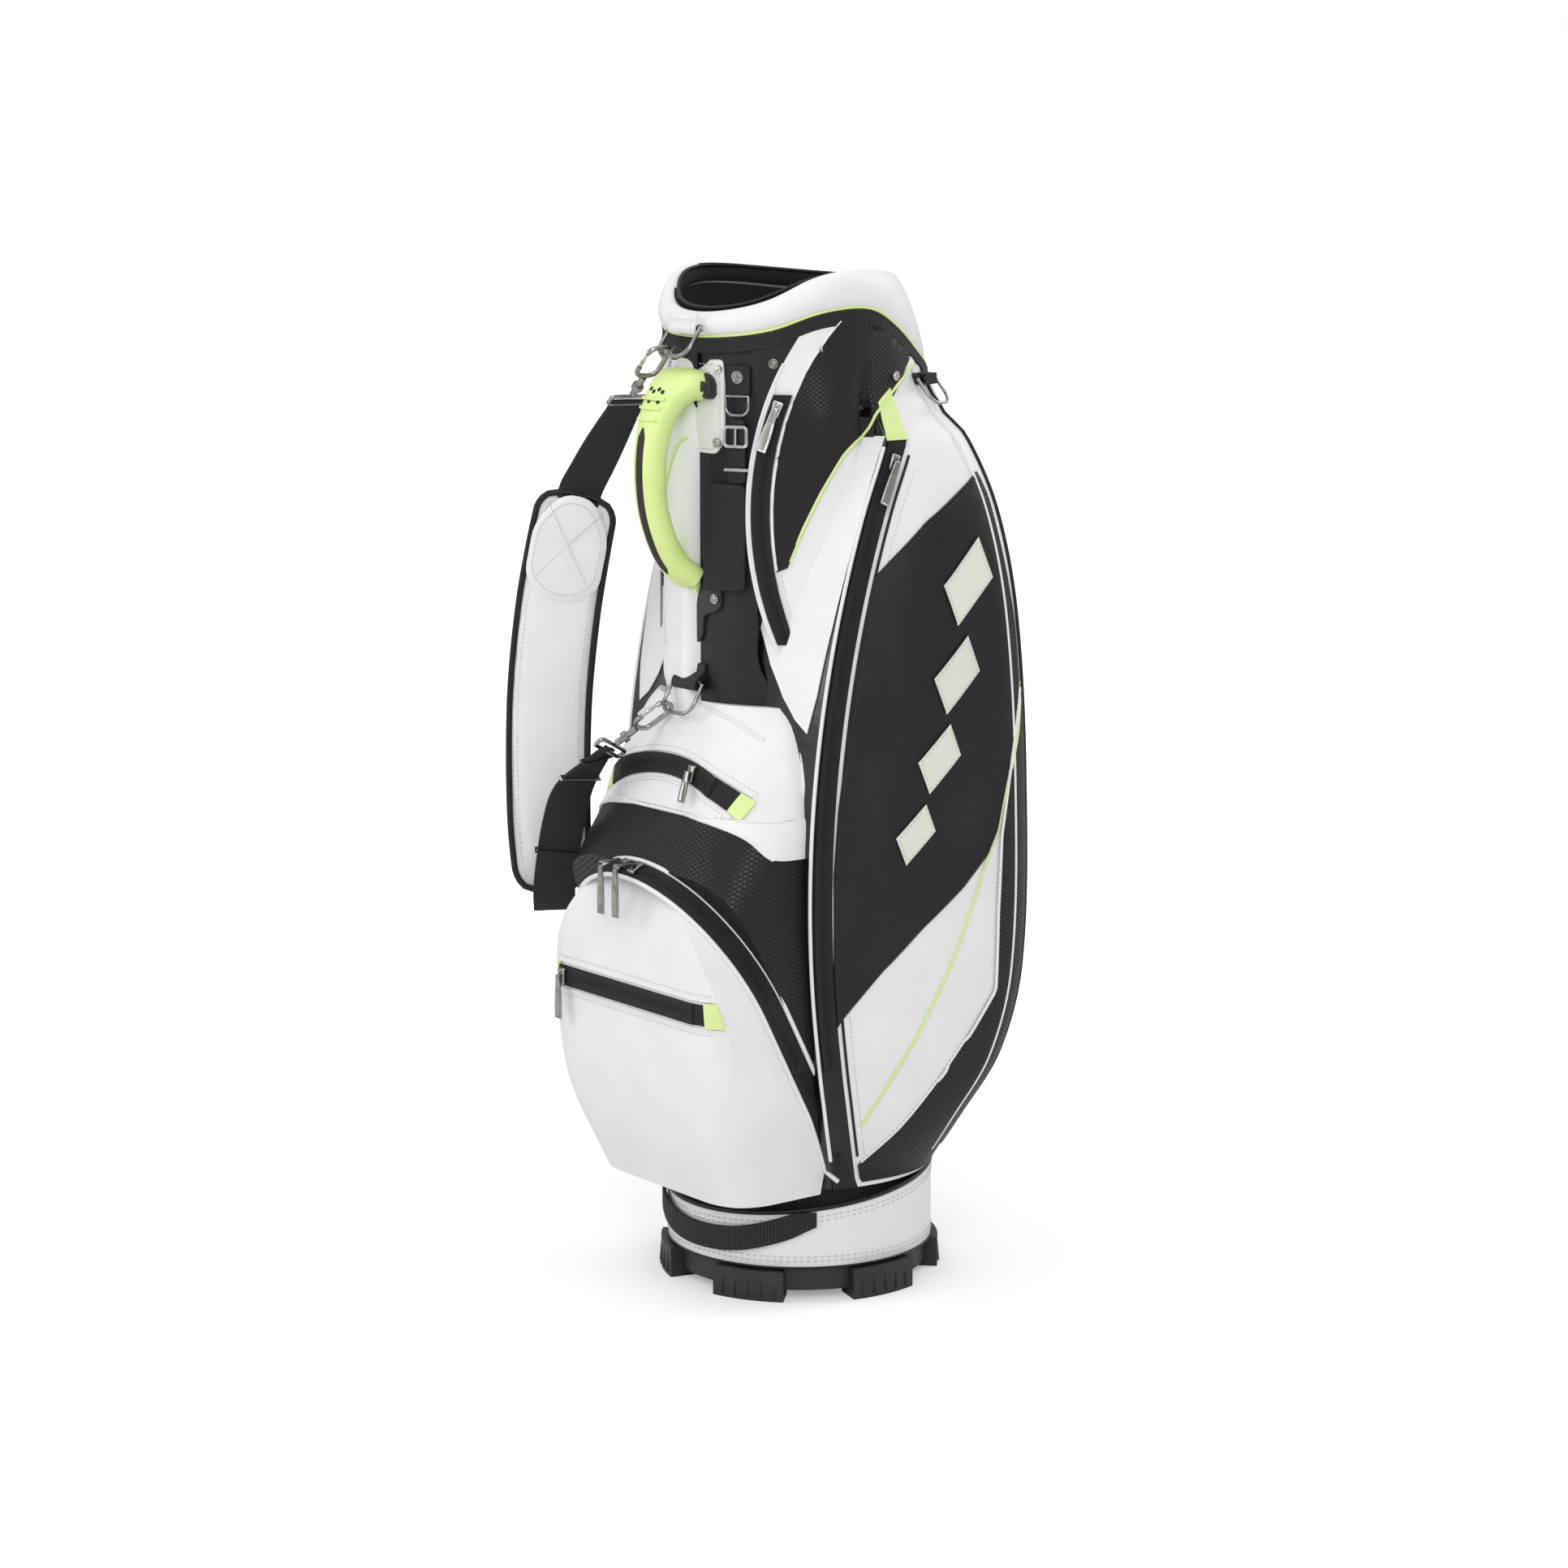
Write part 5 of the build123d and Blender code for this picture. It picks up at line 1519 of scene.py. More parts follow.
def strap_pad():
    frames = strap_frames(PAD_PATH, PAD_TURNS, 12)
    rows = []
    for k, (c, w, n, _) in enumerate(frames):
        share = k / (len(frames) - 1)
        wide = pad_half_width(share)
        puff = 5.0 * (0.35 + 0.65 * soft_step(min(share, 1 - share) * 12))
        row = []
        for s in range(24):
            a = 2 * pi * s / 24
            x, y = cos(a), sin(a)
            flat = (abs(x)**0.75) * (1 if x > 0 else -1)
            row.append(c + w * (flat * wide) + n * (y * puff * (1 - 0.25 * abs(x)**3)))
        rows.append(row)
    obj = outward(skin("strap_pad_cushion", rows))
    modify(obj, "SUBSURF", levels=1, render_levels=1)
    swell(obj, 2.2)
    paint(obj, WHITE)
    smooth(obj, 60.0)
    body(obj, "strap", "strap_pad")
    loop = []
    for side, label in ((1, "front"), (-1, "back")):
        line = [(c, w * side, n, pad_half_width(k / (len(frames) - 1))) for k, (c, w, n, _) in enumerate(frames)]
        loop += [c + w * (wide + 0.4) for c, w, n, wide in line][::side]
        row = [c + w * (wide - 7.5) + n * 5.2 for c, w, n, wide in line[2:-2]]
        stitches("strap_pad_seam_" + label, row, rides="strap")
    cord_round("strap_binding", loop, 2.9, BLACK, "strap", True, 6)
    return frames


def swell(obj, cap):
    """A short cloth simulation that puffs a cushion, with a limit on how far it may move."""
    rest = [v.co.copy() for v in obj.data.vertices]
    only(obj)
    cloth = obj.modifiers.new("cloth", "CLOTH")
    cloth.settings.use_pressure = True
    cloth.settings.uniform_pressure_force = 4.0
    cloth.settings.effector_weights.gravity = 0.0
    cloth.settings.quality = 5
    for step in range(1, 13):
        bpy.context.scene.frame_set(step)
    bpy.ops.object.modifier_apply(modifier=cloth.name)
    bpy.context.scene.frame_set(1)
    for v, was in zip(obj.data.vertices, rest):
        move = v.co - was
        if move.length > cap * MM:
            v.co = was + move.normalized() * cap * MM
    return obj


def strap_patch(frames):
    """Quilted patch over the pad's top end, with a stitched cross."""
    outline = [(-33, -38), (-33, 12), (-13, 44), (13, 44), (33, 12), (33, -38), (13, -54), (-13, -54)]
    ring = [(p.x, p.y) for p in rounded([Vector((a, b, 0)) for a, b in outline], (15,) * 8, 5)]
    gap = (frames[8][0] - frames[7][0]).length
    centre_row = 44.0 / gap

    def place(u, v, lift):
        share = centre_row + v / gap
        k = min(max(share, 0.0), len(frames) - 1.001)
        i = int(k)
        t = k - i
        a, b = frames[i], frames[i + 1]
        c = a[0].lerp(b[0], t)
        w, n, run = a[1].lerp(b[1], t).normalized(), a[2].lerp(b[2], t).normalized(), a[3]
        over = (share - k) * gap
        return c + w * u + run * over + n * lift

    rows = []
    for shrink, lift in ((1.0, 5.0), (1.02, 6.8), (0.97, 8.2), (0.86, 9.2), (0.6, 9.9), (0.3, 9.6), (0.04, 9.0)):
        rows.append([place(u * shrink, -v * shrink, lift - 1.3 * (abs(u) / 34.0)**2) for u, v in ring])
    obj = outward(skin("strap_patch", rows))
    paint(obj, WHITE)
    smooth(obj, 60.0)
    body(obj, "strap")
    for name, a, b in (("a", (-24, -34), (24, 36)), ("b", (24, -34), (-24, 36))):
        line = [place(a[0] + (b[0] - a[0]) * k / 30, a[1] + (b[1] - a[1]) * k / 30,
                      10.1 - 1.5 * (abs(a[0] + (b[0] - a[0]) * k / 30) / 34.0)**2) for k in range(31)]
        stitches("strap_patch_cross_" + name, line, rides="strap", pitch=3.4, length=2.4)
    border = [place(u * 0.87, -v * 0.87, 9.5 - 1.3 * (abs(u) * 0.87 / 34.0)**2) for u, v in ring]
    stitches("strap_patch_border", border + border[:1], rides="strap", pitch=3.4, length=2.4)


def webbing_run(name, points, turns, wide=19.0):
    frames = strap_frames(points, turns, 8)
    rows = []
    for c, w, n, _ in frames:
        row = []
        for x, y in ((-1, -0.4), (-0.97, -1), (-0.5, -1.15), (0, -1.2), (0.5, -1.15), (0.97, -1), (1, -0.4), (1, 0.4),
                     (0.97, 1), (0.5, 1.15), (0, 1.2), (-0.5, 1.15), (-0.97, 1), (-1, 0.4)):
            row.append(c + w * (x * wide) + n * (y * 1.4))
        rows.append(row)
    obj = outward(skin(name, rows))
    paint(obj, WEB)
    smooth(obj, 45.0)
    return body(obj, "strap"), frames


def strap():
    frames = strap_pad()
    strap_patch(frames)
    ends = []
    for label, at, tilt, eye in HOOKS:
        start = ring_corner(at, tilt)
        down = (Vector(eye) - start).normalized()
        ends.append([Vector(eye) + down * 0.6, Vector(eye) + down * 12])
    top, _ = webbing_run("strap_webbing_top", ends[0] + [Vector(p) for p in TOP_WEB], [90, 90, 70, 58, 50, 50])
    low, low_frames = webbing_run("strap_webbing_low", ends[1] + [Vector(p) for p in LOW_WEB], [113, 113, 76, 58, 58, 60, 62, 64, 64])
    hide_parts("strap_webbing")
    for label, frames_of, rows in (("low", low_frames, (9, 14, 30)), ):
        for k in rows:
            c, w, n, t = frames_of[k]
            buckle = [c + w * x + n * y for x, y in ((-20.5, -2.4), (20.5, -2.4), (20.5, 2.4), (-20.5, 2.4))]
            cord_round("strap_keeper_%s_%d" % (label, k), buckle, 1.3, METAL if k == 14 else BLACK, "strap", True, 6)


# ---------------------------------------------------------------- handle


def handle_grip():
    spine = [(-121, 798, 31, 14), (-131, 797, 30, 13.5), (-143, 787, 23, 12.5), (-153, 770, 17.5, 12), (-159.5, 745, 15.5, 11.5),
             (-161, 717, 15, 11.2), (-157, 688, 14.5, 11), (-146, 660, 14.5, 11), (-133, 643, 16, 11), (-120.5, 634, 18, 11.5)]
    line = curved([(y, z, 0) for y, z, _, _ in spine], 7)
    sizes = curved([(a, b, 0) for _, _, a, b in spine], 7)
    rows = []
    for k, p in enumerate(line):
        a, b = line[max(k - 1, 0)], line[min(k + 1, len(line) - 1)]
        t = Vector((0, b.x - a.x, b.y - a.y)).normalized()
        n = t.cross(Vector((1, 0, 0)))
        c = Vector((0, p.x, p.y))
        wide, thick = sizes[k].x, sizes[k].y
        row = []
        for s in range(28):
            q = 2 * pi * s / 28
            x, y = cos(q), sin(q)
            fx = (abs(x)**0.7) * (1 if x > 0 else -1)
            fy = (abs(y)**0.8) * (1 if y > 0 else -1)
            row.append(c + Vector((1, 0, 0)) * (fx * wide) + n * (fy * thick))
        rows.append(row)
    obj = outward(skin("handle_grip_body", rows))
    for v in obj.data.vertices:
        x, y, z = v.co / MM
        wall = -sqrt(max(1.0, 118.0**2 - x * x))
        if y > wall:
            v.co.y = wall * MM
    paint(obj, GRIP)
    smooth(obj, 60.0)
    body(obj, "bag", "handle_grip")
    out_side = []
    for k in range(24, 56):
        p = line[k]
        a, b = line[k - 1], line[k + 1]
        t = Vector((0, b.x - a.x, b.y - a.y)).normalized()
        n = t.cross(Vector((1, 0, 0)))
        sign = 1 if n.y < 0 else -1
        out_side.append((Vector((0, p.x, p.y)), n * sign, sizes[k].y))
    rows = []
    for k, (c, n, thick) in enumerate(out_side):
        wide = 4.6 * soft_step(min(k, len(out_side) - 1 - k) / 3.0 + 0.25)
        rows.append([c + Vector((x * wide, 0, 0)) + n * (thick + h) for x, h in
                     ((-1, -1.5), (-1, 0.3), (-0.6, 0.8), (0.6, 0.8), (1, 0.3), (1, -1.5))])
    inlay = outward(skin("handle_inlay", rows))
    paint(inlay, RUBBER)
    smooth(inlay, 45.0)
    body(inlay, "bag")
    for k in range(3):
        c, n, thick = out_side[0]
        at = line[17 + 3 * k]
        size = sizes[17 + 3 * k]
        rib = [Vector((x * size.x * 0.86, at.x - 0.62 * size.y - (1 - x * x) * 0.36 * size.y, at.y + 0.55 * size.y)) for x in
               (-0.9, -0.6, -0.3, 0, 0.3, 0.6, 0.9)]
        cord_round("handle_rib_%d" % (k + 1), rib, 1.5, GRIP, "bag", False, 6)
    return obj, Cover(obj)


def handle_parts():
    grip, cover = handle_grip()
    for k in range(8):
        u, z = (-9 + 6 * (k % 4), 795 - 8 * (k // 4) - 2 * (k % 2))
        found = cover.drop((u, -260, z), (0, 1, 0))
        if found is None:
            continue
        deselect()
        bpy.ops.mesh.primitive_cylinder_add(vertices=20, radius=2.0 * MM, depth=1.4 * MM)
        vent = bpy.context.object
        vent.name = "handle_vent_%d" % (k + 1)
        settle(vent)
        modify(vent, "BEVEL", width=0.35 * MM, segments=2, limit_method="ANGLE")
        across = Vector((1, 0, 0)) - found[1] * found[1].x
        seat(vent, found[0] + found[1] * 0.05, across, found[1])
        smooth(vent)
        body(paint(vent, RUBBER), "bag")
    for label, sign in SIDES:
        rows = []
        for t in range(9):
            share = t / 8
            centre_x = sign * (17 + 15 * share)
            radius = 9.5 * sqrt(max(0.04, 1 - (2 * share - 1)**2 * 0.82))
            z = 800 - 5 * share
            row = []
            for s in range(16):
                a = 2 * pi * s / 16
                r = 117.3
                x = centre_x
                zz = z + radius * 1.15 * sin(a)
                lift = 3.0 + 10.5 * max(0.0, cos(a))**0.7 * (0.6 + 0.4 * sin(pi * share))
                if cos(a) <= 0:
                    lift = 0.4
                angle = x / r
                row.append(Vector(((r + lift) * sin(angle), -(r + lift) * cos(angle), zz)))
            rows.append(row)
        lobe = outward(skin("handle_lobe_" + label, rows))
        paint(lobe, PLASTIC)
        smooth(lobe, 60.0)
        body(lobe, "bag")
    heel_rows = []
    for k in range(7):
        share = k / 6
        z = 622 - 20 * share
        half = 13 - 4.5 * share
        row = []
        for x, lift in ((-1, 0.3), (-1, 4), (-0.6, 6.4), (0.6, 6.4), (1, 4), (1, 0.3)):
            angle = x * half / 116
            r = 117.2 + lift * (1 - 0.45 * share)
            row.append(Vector((r * sin(angle), -r * cos(angle), z + 18)))
        heel_rows.append(row)
    heel = outward(skin("handle_heel", heel_rows))
    paint(heel, GRIP)
    smooth(heel, 45.0)
    body(heel, "bag")
    patch = wall_plate("handle_patch_leather", [(-39, 800), (-37, 820), (37, 820), (39, 800), (39, 752), (30, 740), (-30, 740),
                                                 (-39, 752)], 115.5, 2.2, WHITE)
    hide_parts("handle_patch")
    border = [(-35, 800), (-33, 816), (33, 816), (35, 800), (35, 754), (28, 744), (-28, 744), (-35, 754)]
    stitches("handle_patch_seam", wall_line(border + border[:1], 118.1, 2.0))
    bracket = [(-35, 624), (-31, 628), (31, 628), (35, 624), (35, 610), (29, 605), (16, 601), (14, 582), (8, 576), (-8, 576),
               (-14, 582), (-16, 601), (-29, 605), (-35, 610)]
    plate = wall_plate("handle_bracket_plate", bracket, 115.5, 2.4, PLASTIC)
    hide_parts("handle_bracket")


def wall_line(outline, r, step=3.0):
    """Points on the front wall from (length round it, height)."""
    return [Vector((r * sin(p.x / 116), -r * cos(p.x / 116), p.y)) for p in even([(a, b, 0) for a, b in outline], step)]


def wall_plate(name, outline, r, thick, finish, rides="bag"):
    """A plate that follows the front wall, with its edges rolled down."""
    ring = [p.xy for p in rounded([Vector((a, b, 0)) for a, b in outline], (4.0,) * len(outline), 4)]
    mid = Vector((sum(p.x for p in ring) / len(ring), sum(p.y for p in ring) / len(ring)))
    rows = []
    for shrink, lift in ((1.0, 0.0), (1.0, thick * 0.6), (0.985, thick), (0.8, thick + 0.15), (0.5, thick + 0.2), (0.2, thick + 0.2)):
        row = []
        for p in ring:
            q = mid + (p - mid) * shrink
            row.append(Vector(((r + lift) * sin(q.x / 116), -(r + lift) * cos(q.x / 116), q.y)))
        rows.append(row)
    obj = outward(skin(name, rows))
    paint(obj, finish)
    smooth(obj, 35.0)
    return body(obj, rides)


# ---------------------------------------------------------------- tabs, tag and studs


def ring_tab(name, node, at, width, finish, height, seam):
    """A leather loop that is folded round a ring's bar and laid against the wall."""
    x0, y0, z0 = at
    rows = []
    for s in range(9):
        share = s / 8 * 2 - 1
        x = x0 + share * width / 2
        edge = 1 - 0.06 * abs(share)**6
        wall = -sqrt(115.2**2 - x * x)
        row = [(wall, z0 + height), (wall - 2.4, z0 + height - 0.5), (wall - 3.2, z0 + height * 0.6), (y0 - 3.4 * edge, z0 + 4.4),
               (y0 - 5.2 * edge, z0 + 1.6), (y0 - 5.2 * edge, z0 - 2.2), (y0 - 3.2, z0 - 5.0), (y0 + 1.0, z0 - 5.2), (wall, z0 - 4.6),
               (wall + 0.4, z0 - 3.0), (y0 + 1.2, z0 - 3.0), (y0 - 2.0, z0 - 2.8), (y0 - 3.0, z0 - 1.4), (y0 - 3.0, z0 + 1.4),
               (y0 - 1.2, z0 + 3.0), (wall + 0.3, z0 + 3.6)]
        rows.append([Vector((x, y, z)) for y, z in row])
    obj = outward(skin(name, rows))
    paint(obj, finish)
    smooth(obj, 50.0)
    body(obj, "bag", node)
    return obj


def leather_plate(name, node, rides, origin, along, out, width, height, thick, corner, finish, thread):
    """A flat strap or tag of two layers, crowned, with a sewn row inside its edge."""
    along, out = Vector(along).normalized(), Vector(out).normalized()
    up = out.cross(along)
    corners = [(-width / 2, -height / 2), (width / 2, -height / 2), (width / 2, height / 2), (-width / 2, height / 2)]
    ring = rounded([Vector((a, b, 0)) for a, b in corners], (corner,) * 4, 6)
    rows = []
    for shrink, lift in ((0.96, 0), (1.0, thick * 0.3), (1.0, thick * 0.7), (0.975, thick), (0.7, thick + 0.25), (0.3, thick + 0.3)):
        row = []
        for p in ring:
            inset = (1 - shrink) * min(width, height) / 2
            x = p.x - inset * (p.x / (width / 2))
            y = p.y - inset * (p.y / (height / 2))
            row.append(Vector(origin) + along * x + up * y + out * lift)
        rows.append(row)
    obj = outward(skin(name, rows))
    paint(obj, finish)
    smooth(obj, 40.0)
    body(obj, rides, node)
    seam = [Vector(origin) + along * (p.x * (1 - 4.4 / width)) + up * (p.y * (1 - 4.4 / height)) + out * (thick + 0.35) for p in ring]
    stitches(name + "_seam", seam + seam[:1], thread, 3.2, 2.2, 0.3, rides)
    return obj


def dome(name, centre, out, radius, high, finish, rides="bag"):
    """A pressed stud head: a ring, a groove and a crown."""
    deselect()
    bpy.ops.mesh.primitive_cylinder_add(vertices=28, radius=radius * MM, depth=high * MM)
    obj = bpy.context.object
    obj.name = name
    settle(obj)
    made = bmesh.new()
    made.from_mesh(obj.data)
    top = [f for f in made.faces if f.normal.z > 0.9]
    for thick, depth in ((0.22, 0.0), (0.06, -0.25), (0.08, 0.0), (0.10, 0.34)):
        bmesh.ops.inset_region(made, faces=top, thickness=radius * thick * MM, depth=high * depth * MM)
    made.to_mesh(obj.data)
    made.free()
    modify(obj, "BEVEL", width=0.16 * radius * MM, segments=2, limit_method="ANGLE")
    out = Vector(out).normalized()
    across = Vector((0, 0, 1)).cross(out).normalized()
    seat(obj, centre, across, out)
    smooth(obj, 40.0)
    return body(paint(obj, finish), rides)


def small_parts():
    over = ring_tab("top_ring_leather", "top_ring_tab", (0.0, -123.0, 846.0), 38, WHITE, 13, THREAD)
    for v in over.data.vertices:
        if v.co.z > 851 * MM:
            v.co.y -= 9.5 * MM
    for x in (-16, 16):
        fold = [Vector((x, y, z)) for y, z in ((-127.6, 858), (-128.4, 853.5), (-129.0, 849), (-129.0, 844))]
        stitches("top_ring_seam_%s" % ("left" if x < 0 else "right"), fold, pitch=2.8, length=1.9, radius=0.35)
    ring_tab("mid_ring_leather", "mid_ring_tab", (0.0, -122.4, 541.0), 34, BLACK, 18, DARK_THREAD)
    dome("mid_ring_rivet", (0, -119.0, 556), (0, -1, 0.1), 3.4, 2.0, METAL)
    a = radians(26.0)
    out = Vector((sin(a), -cos(a), 0))
    along = Vector((cos(a), sin(a), 0))
    tag_r = 118.6
    leather_plate("tag_tab_leather", "tag_tab", "bag", out * 115.3 + Vector((0, 0, 803)), along, out, 22, 26, 2.6, 4, BLACK, DARK_THREAD)
    dome("tag_tab_snap", out * 118.6 + Vector((0, 0, 806)), out, 5.4, 2.2, METAL)
    leather_plate("tag_strap_leather", "tag_strap", "tag_strap", out * 119.0 + Vector((0, 0, 743.4)), along, out, 16, 54, 2.2, 4,
                  BLACK, DARK_THREAD)
    leather_plate("name_tag_leather", "name_tag", "name_tag", out * 119.0 + along * -12.6 + Vector((0, 0, 669.8)), along, out, 40, 92,
                  2.0, 7, BLACK, DARK_THREAD)
    keeper = [out * (121.9 + d) + along * x + Vector((0, 0, 728)) for x, d in ((-9.6, -1.6), (9.6, -1.6), (9.6, 1.4), (-9.6, 1.4))]
    cord_round("tag_keeper", keeper, 1.5, BRIGHT, "tag_strap", True, 6)
    metal_ring("tag_ring_metal", "tag_ring", "tag_ring", out * 119.8 + Vector((0, 0, 790)), along, out, 24, 20, 2.6, 7.4, METAL)
    centre = out * 123.0 + Vector((0, 0, 756))
    frame_line = [centre + along * p.x + Vector((0, 0, p.y)) for p in
                  rounded([Vector((x, y, 0)) for x, y in ((-10.3, -8.2), (10.3, -8.2), (10.3, 8.2), (-10.3, 8.2))], (3,) * 4, 4)]
    buckle = cord_round("tag_buckle_metal", frame_line, 1.6, BRIGHT, "tag_strap", True, 8)
    prong = cord_round("tag_buckle_prong", [centre + Vector((0, 0, 8)) - out * 0.4, centre + Vector((0, 0, -8.4)) + out * 0.5], 1.1,
                       BRIGHT, "tag_strap", False, 6)
    only(buckle)
    prong.select_set(True)
    bpy.ops.object.join()
    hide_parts("tag_buckle")
    towel = axes_of("towel_ring")[0]
    ta, tilt = radians(112.0), radians(38.0)
    out = Vector((sin(ta), -cos(ta), 0))
    lean = out * cos(tilt) + Vector((0, 0, 1)) * sin(tilt)
    metal_ring("towel_ring_metal", "towel_ring", "towel_ring", out * 125.6 + Vector((0, 0, 802)), (cos(ta), sin(ta), 0), lean, 34, 30,
               3.0, 11.0, METAL)
    for angle, z in ((44, 818.0), (66, 830.0)):
        for sign in (-1, 1):
            q = radians(sign * angle)
            way = Vector((sin(q), -cos(q), 0))
            at = collar_point(q, z, 0.0)
            dome("snap_stud_%d_%s" % (angle, "left" if sign < 0 else "right"), at + way * 1.6, way, 4.2, 2.6,
                              BRIGHT if angle == 66 else METAL)
    for sign in (-1, 1):
        q = radians(sign * 97)
        way = Vector((sin(q), -cos(q), 0))
        dome("side_stud_" + ("left" if sign < 0 else "right"), collar_point(q, 806, 3.4) + way * 1.0, way, 4.0, 2.4, BRIGHT)
    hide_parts("snap_studs")
    lobe = 132.2
    for x in (-28, 28):
        q = x / 117.0
        way = Vector((sin(q), -cos(q), 0))
        dome("handle_screw_%s" % ("left" if x < 0 else "right"), way * lobe + Vector((0, 0, 798)), way, 4.4, 2.0, PLASTIC)
    for k, (x, z) in enumerate(((-29, 616), (29, 616), (0, 584), (32, 750), (-30, 750), (33, 812), (-33, 812))):
        q = x / 116.0
        way = Vector((sin(q), -cos(q), 0))
        dome("handle_rivet_%d" % (k + 1), way * 118.6 + Vector((0, 0, z)), way, 4.2, 2.0, BRIGHT if z > 700 else METAL)
    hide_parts("handle_screws")


# ---------------------------------------------------------------- base


def foot_ribs():
    """Upright ribs on each foot's outer face, cut from one pattern."""
    pattern = block("foot_rib_pattern", (3.0, 3.4, 19.0))
    made = bmesh.new()
    made.from_mesh(pattern.data)
    for v in made.verts:
        if v.co.z > 0 and v.co.y < 0:
            v.co.y += 1.6 * MM
    made.to_mesh(pattern.data)
    made.free()
    modify(pattern, "BEVEL", width=0.7 * MM, segments=2, limit_method="NONE")
    for foot in range(6):
        group = []
        for k in range(5):
            a = radians(30 + 60 * foot + (k - 2) * 5.6)
            out = Vector((sin(a), -cos(a), 0))
            one = copy_of(pattern, "foot_rib_%d_%d" % (foot + 1, k + 1))
            along = Vector((cos(a), sin(a), 0))
            seat(one, out * 125.0 + Vector((0, 0, 12.5)), along, Vector((0, 0, 1)))
            group.append(one)
        only(group[0])
        for one in group[1:]:
            one.select_set(True)
        bpy.ops.object.join()
        obj = bpy.context.object
        obj.name = "foot_ribs_%d" % (foot + 1)
        smooth(obj, 35.0)
        body(paint(obj, PLASTIC), "bag")
    bpy.data.objects.remove(pattern)


def plain_nodes():
    """CAD parts whose own shape is shown get their finish."""
    for name, finish in (("base_moulding", PLASTIC), ("base_feet", PLASTIC), ("bag_tube", LINING), ("club_divider", LINING),
                         ("top_frame", LINING), ("ball_zip", TAPE), ("garment_zips", TAPE), ("upper_zips", TAPE),
                         ("upper_front_zip", TAPE), ("ball_front_zip", TAPE)):
        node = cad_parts[name]
        node.data.materials.clear()
        node.data.materials.append(finish)


def divider_trim():
    """Padded trim along the top of each divider wall."""
    for name, a, b in (("long", (0, -104, 833), (0, 84, 833)), ("front", (-92, -40, 833), (92, -40, 833)),
                       ("back", (-98, 26, 833), (98, 26, 833))):
        line = [Vector(a).lerp(Vector(b), k / 24) for k in range(25)]
        cord_round("divider_trim_" + name, line, 3.6, LINING, "bag", False, 8)


# ---------------------------------------------------------------- floor, light and camera


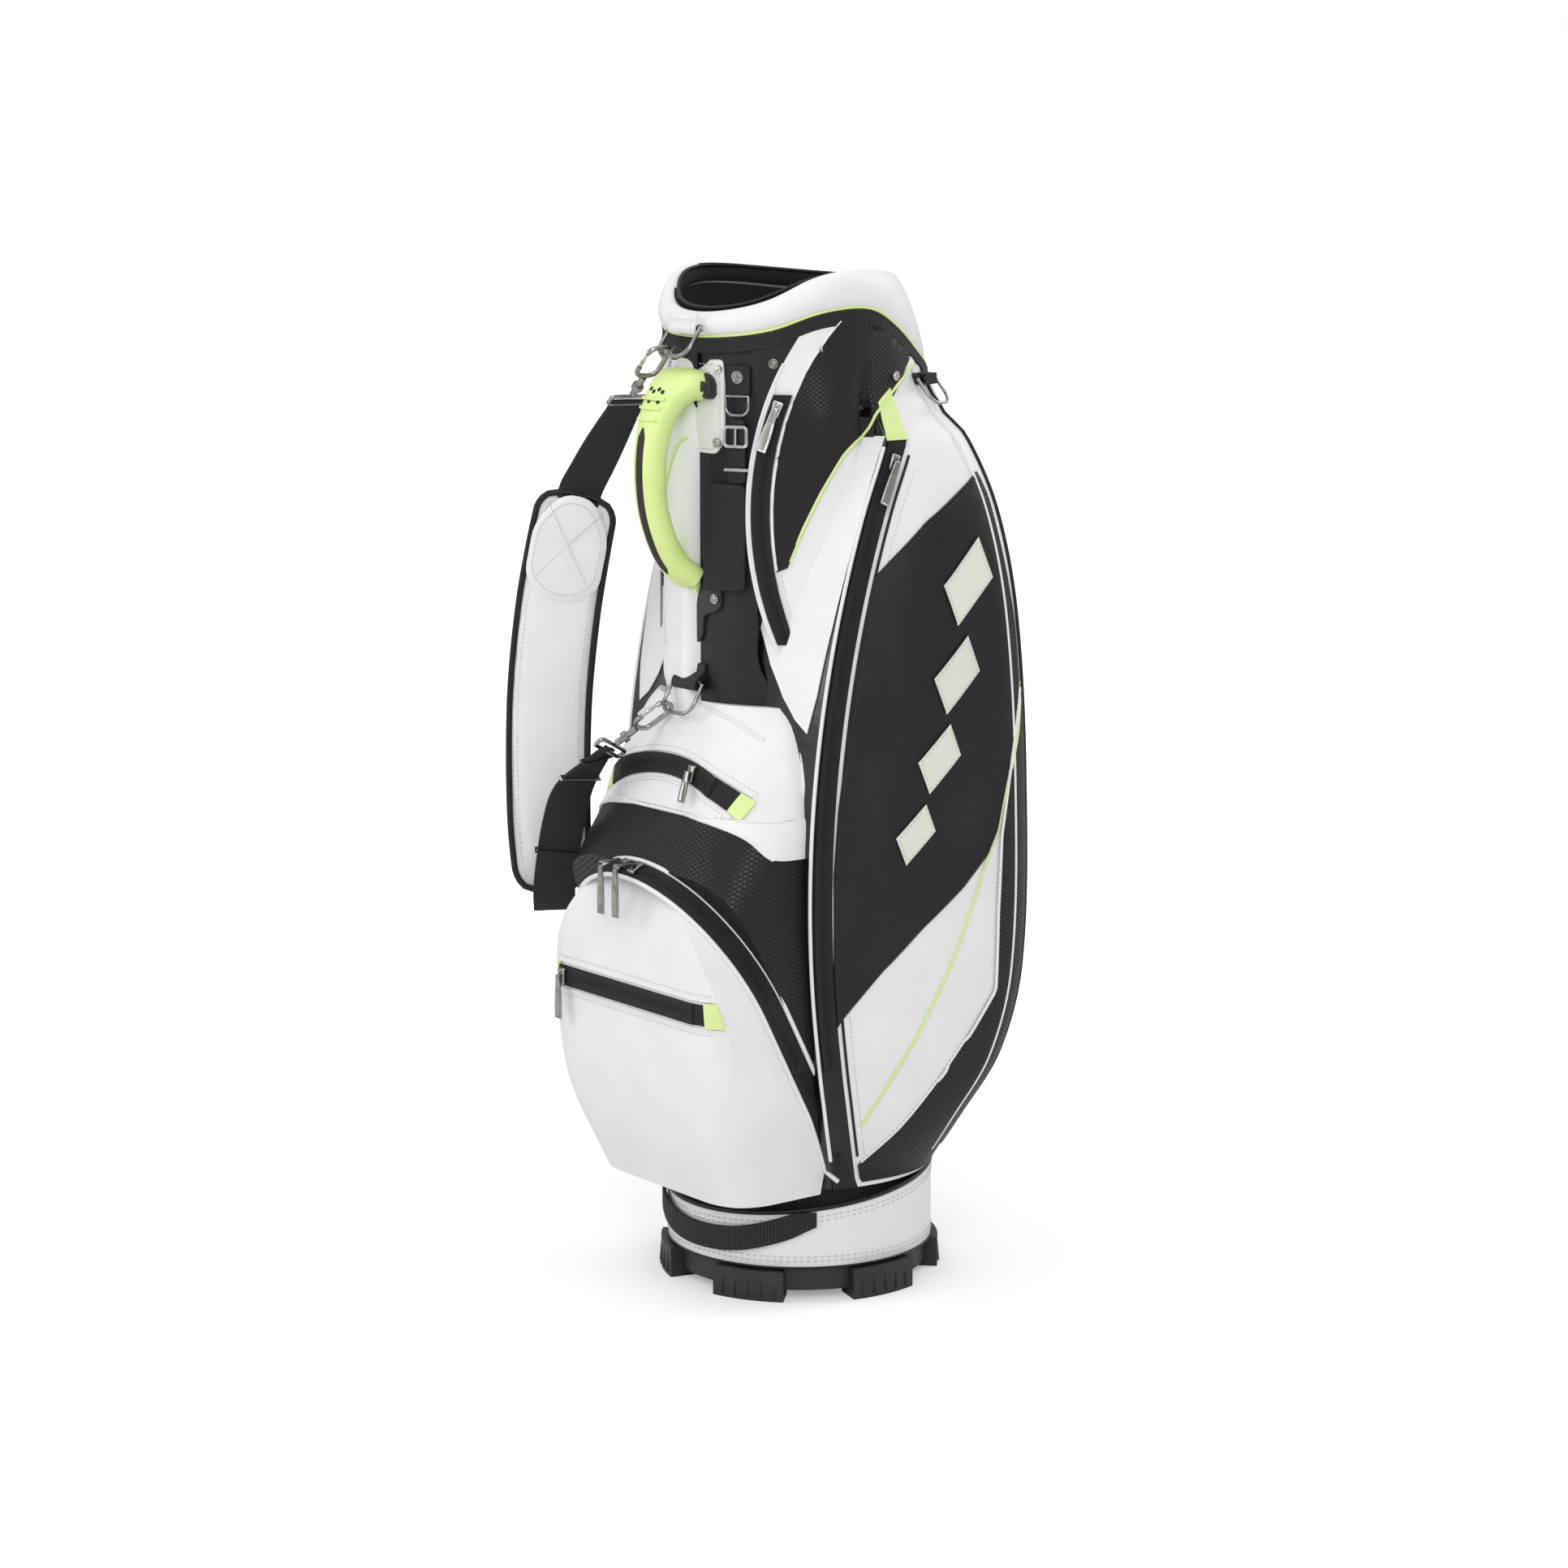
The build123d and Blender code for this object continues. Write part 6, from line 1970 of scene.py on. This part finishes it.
def stage():
    floor = Finish("pale_floor")
    where = floor.place()
    slow = floor.noise(where, 3.0, 2.0)
    plain = floor.blend(slow, rgb(0.80, 0.80, 0.80), rgb(0.82, 0.82, 0.82))
    floor.set(Base_Color=plain, Roughness=0.9)
    deselect()
    bpy.ops.mesh.primitive_plane_add(size=80, location=(0, 0, 0))
    ground = bpy.context.object
    ground.name = "floor"
    ground.data.materials.append(floor.material)
    world = bpy.data.worlds.new("studio")
    bpy.context.scene.world = world
    world.use_nodes = True
    tree = world.node_tree
    back = tree.nodes["Background"]
    back.inputs["Color"].default_value = rgb(0.98, 0.985, 1.0)
    back.inputs["Strength"].default_value = 0.55
    white = tree.nodes.new("ShaderNodeBackground")
    white.inputs["Color"].default_value = rgb(1, 1, 1)
    white.inputs["Strength"].default_value = 1.0
    path = tree.nodes.new("ShaderNodeLightPath")
    mix = tree.nodes.new("ShaderNodeMixShader")
    tree.links.new(path.outputs["Is Camera Ray"], mix.inputs[0])
    tree.links.new(back.outputs[0], mix.inputs[1])
    tree.links.new(white.outputs[0], mix.inputs[2])
    tree.links.new(mix.outputs[0], tree.nodes["World Output"].inputs["Surface"])
    shade = floor.tree.nodes
    far = floor.node("VectorMath", {"operation": "LENGTH"}, {"Vector": where}, out=1)
    glow = floor.node("Emission", None, {"Color": rgb(1, 1, 1), "Strength": floor.step(far, 0.25, 2.2, 0.30, 1.0)})
    added = shade.new("ShaderNodeAddShader")
    floor.tree.links.new(floor.shader.outputs[0], added.inputs[0])
    floor.tree.links.new(glow.socket, added.inputs[1])
    out = next(n for n in shade if n.type == "OUTPUT_MATERIAL")
    path = shade.new("ShaderNodeLightPath")
    mix = shade.new("ShaderNodeMixShader")
    floor.tree.links.new(path.outputs["Is Camera Ray"], mix.inputs[0])
    floor.tree.links.new(floor.shader.outputs[0], mix.inputs[1])
    floor.tree.links.new(added.outputs[0], mix.inputs[2])
    floor.tree.links.new(mix.outputs[0], out.inputs["Surface"])


def lamp(name, at, size, power):
    data = bpy.data.lights.new(name, "AREA")
    data.shape = "RECTANGLE"
    data.size, data.size_y = size
    data.energy = power
    obj = bpy.data.objects.new(name, data)
    bpy.context.scene.collection.objects.link(obj)
    obj.location = at
    aim = Vector((0, 0, 0.45)) - Vector(at)
    obj.rotation_euler = aim.to_track_quat("-Z", "Y").to_euler()


def camera():
    az, el, far = radians(52), radians(10), 3.4
    target = Vector((0, 0, 0.439))
    data = bpy.data.cameras.new("view")
    data.sensor_width = 36.0
    data.lens = 88.0
    data.shift_x = -0.0098
    obj = bpy.data.objects.new("view", data)
    bpy.context.scene.collection.objects.link(obj)
    away = Vector((sin(az) * cos(el), -cos(az) * cos(el), sin(el)))
    obj.location = target + away * far
    obj.rotation_euler = (-away).to_track_quat("-Z", "Y").to_euler()
    bpy.context.scene.camera = obj


def main():
    scene = bpy.context.scene
    scene.view_settings.view_transform = "Standard"
    camera()
    stage()
    lamp("key", (2.6, -2.2, 2.3), (1.6, 2.0), 46.0)
    lamp("fill", (-1.6, -2.8, 1.5), (1.8, 1.8), 24.0)
    lamp("rim", (0.6, 2.8, 2.0), (1.6, 1.4), 26.0)
    lamp("top", (0.0, -0.3, 3.2), (2.2, 2.2), 20.0)
    plain_nodes()
    front_panel()
    back_spine()
    shoulder_cover()
    for label, sign in SIDES:
        garment, rows = garment_pocket(label, sign)
        garment_details(label, sign, garment, rows)
        upper, upper_rows = upper_pocket(label, sign)
        upper_details(label, sign, upper, upper_rows, garment)
    ball, gusset, upper_front = belly_pieces()
    belly_details(ball, gusset, upper_front)
    cuff()
    cuff_webbing()
    base_band()
    lift_loop()
    zip_rows(Cover(ball))
    zip_hardware()
    rings_and_hooks()
    strap()
    handle_parts()
    small_parts()
    foot_ribs()
    divider_trim()


main()
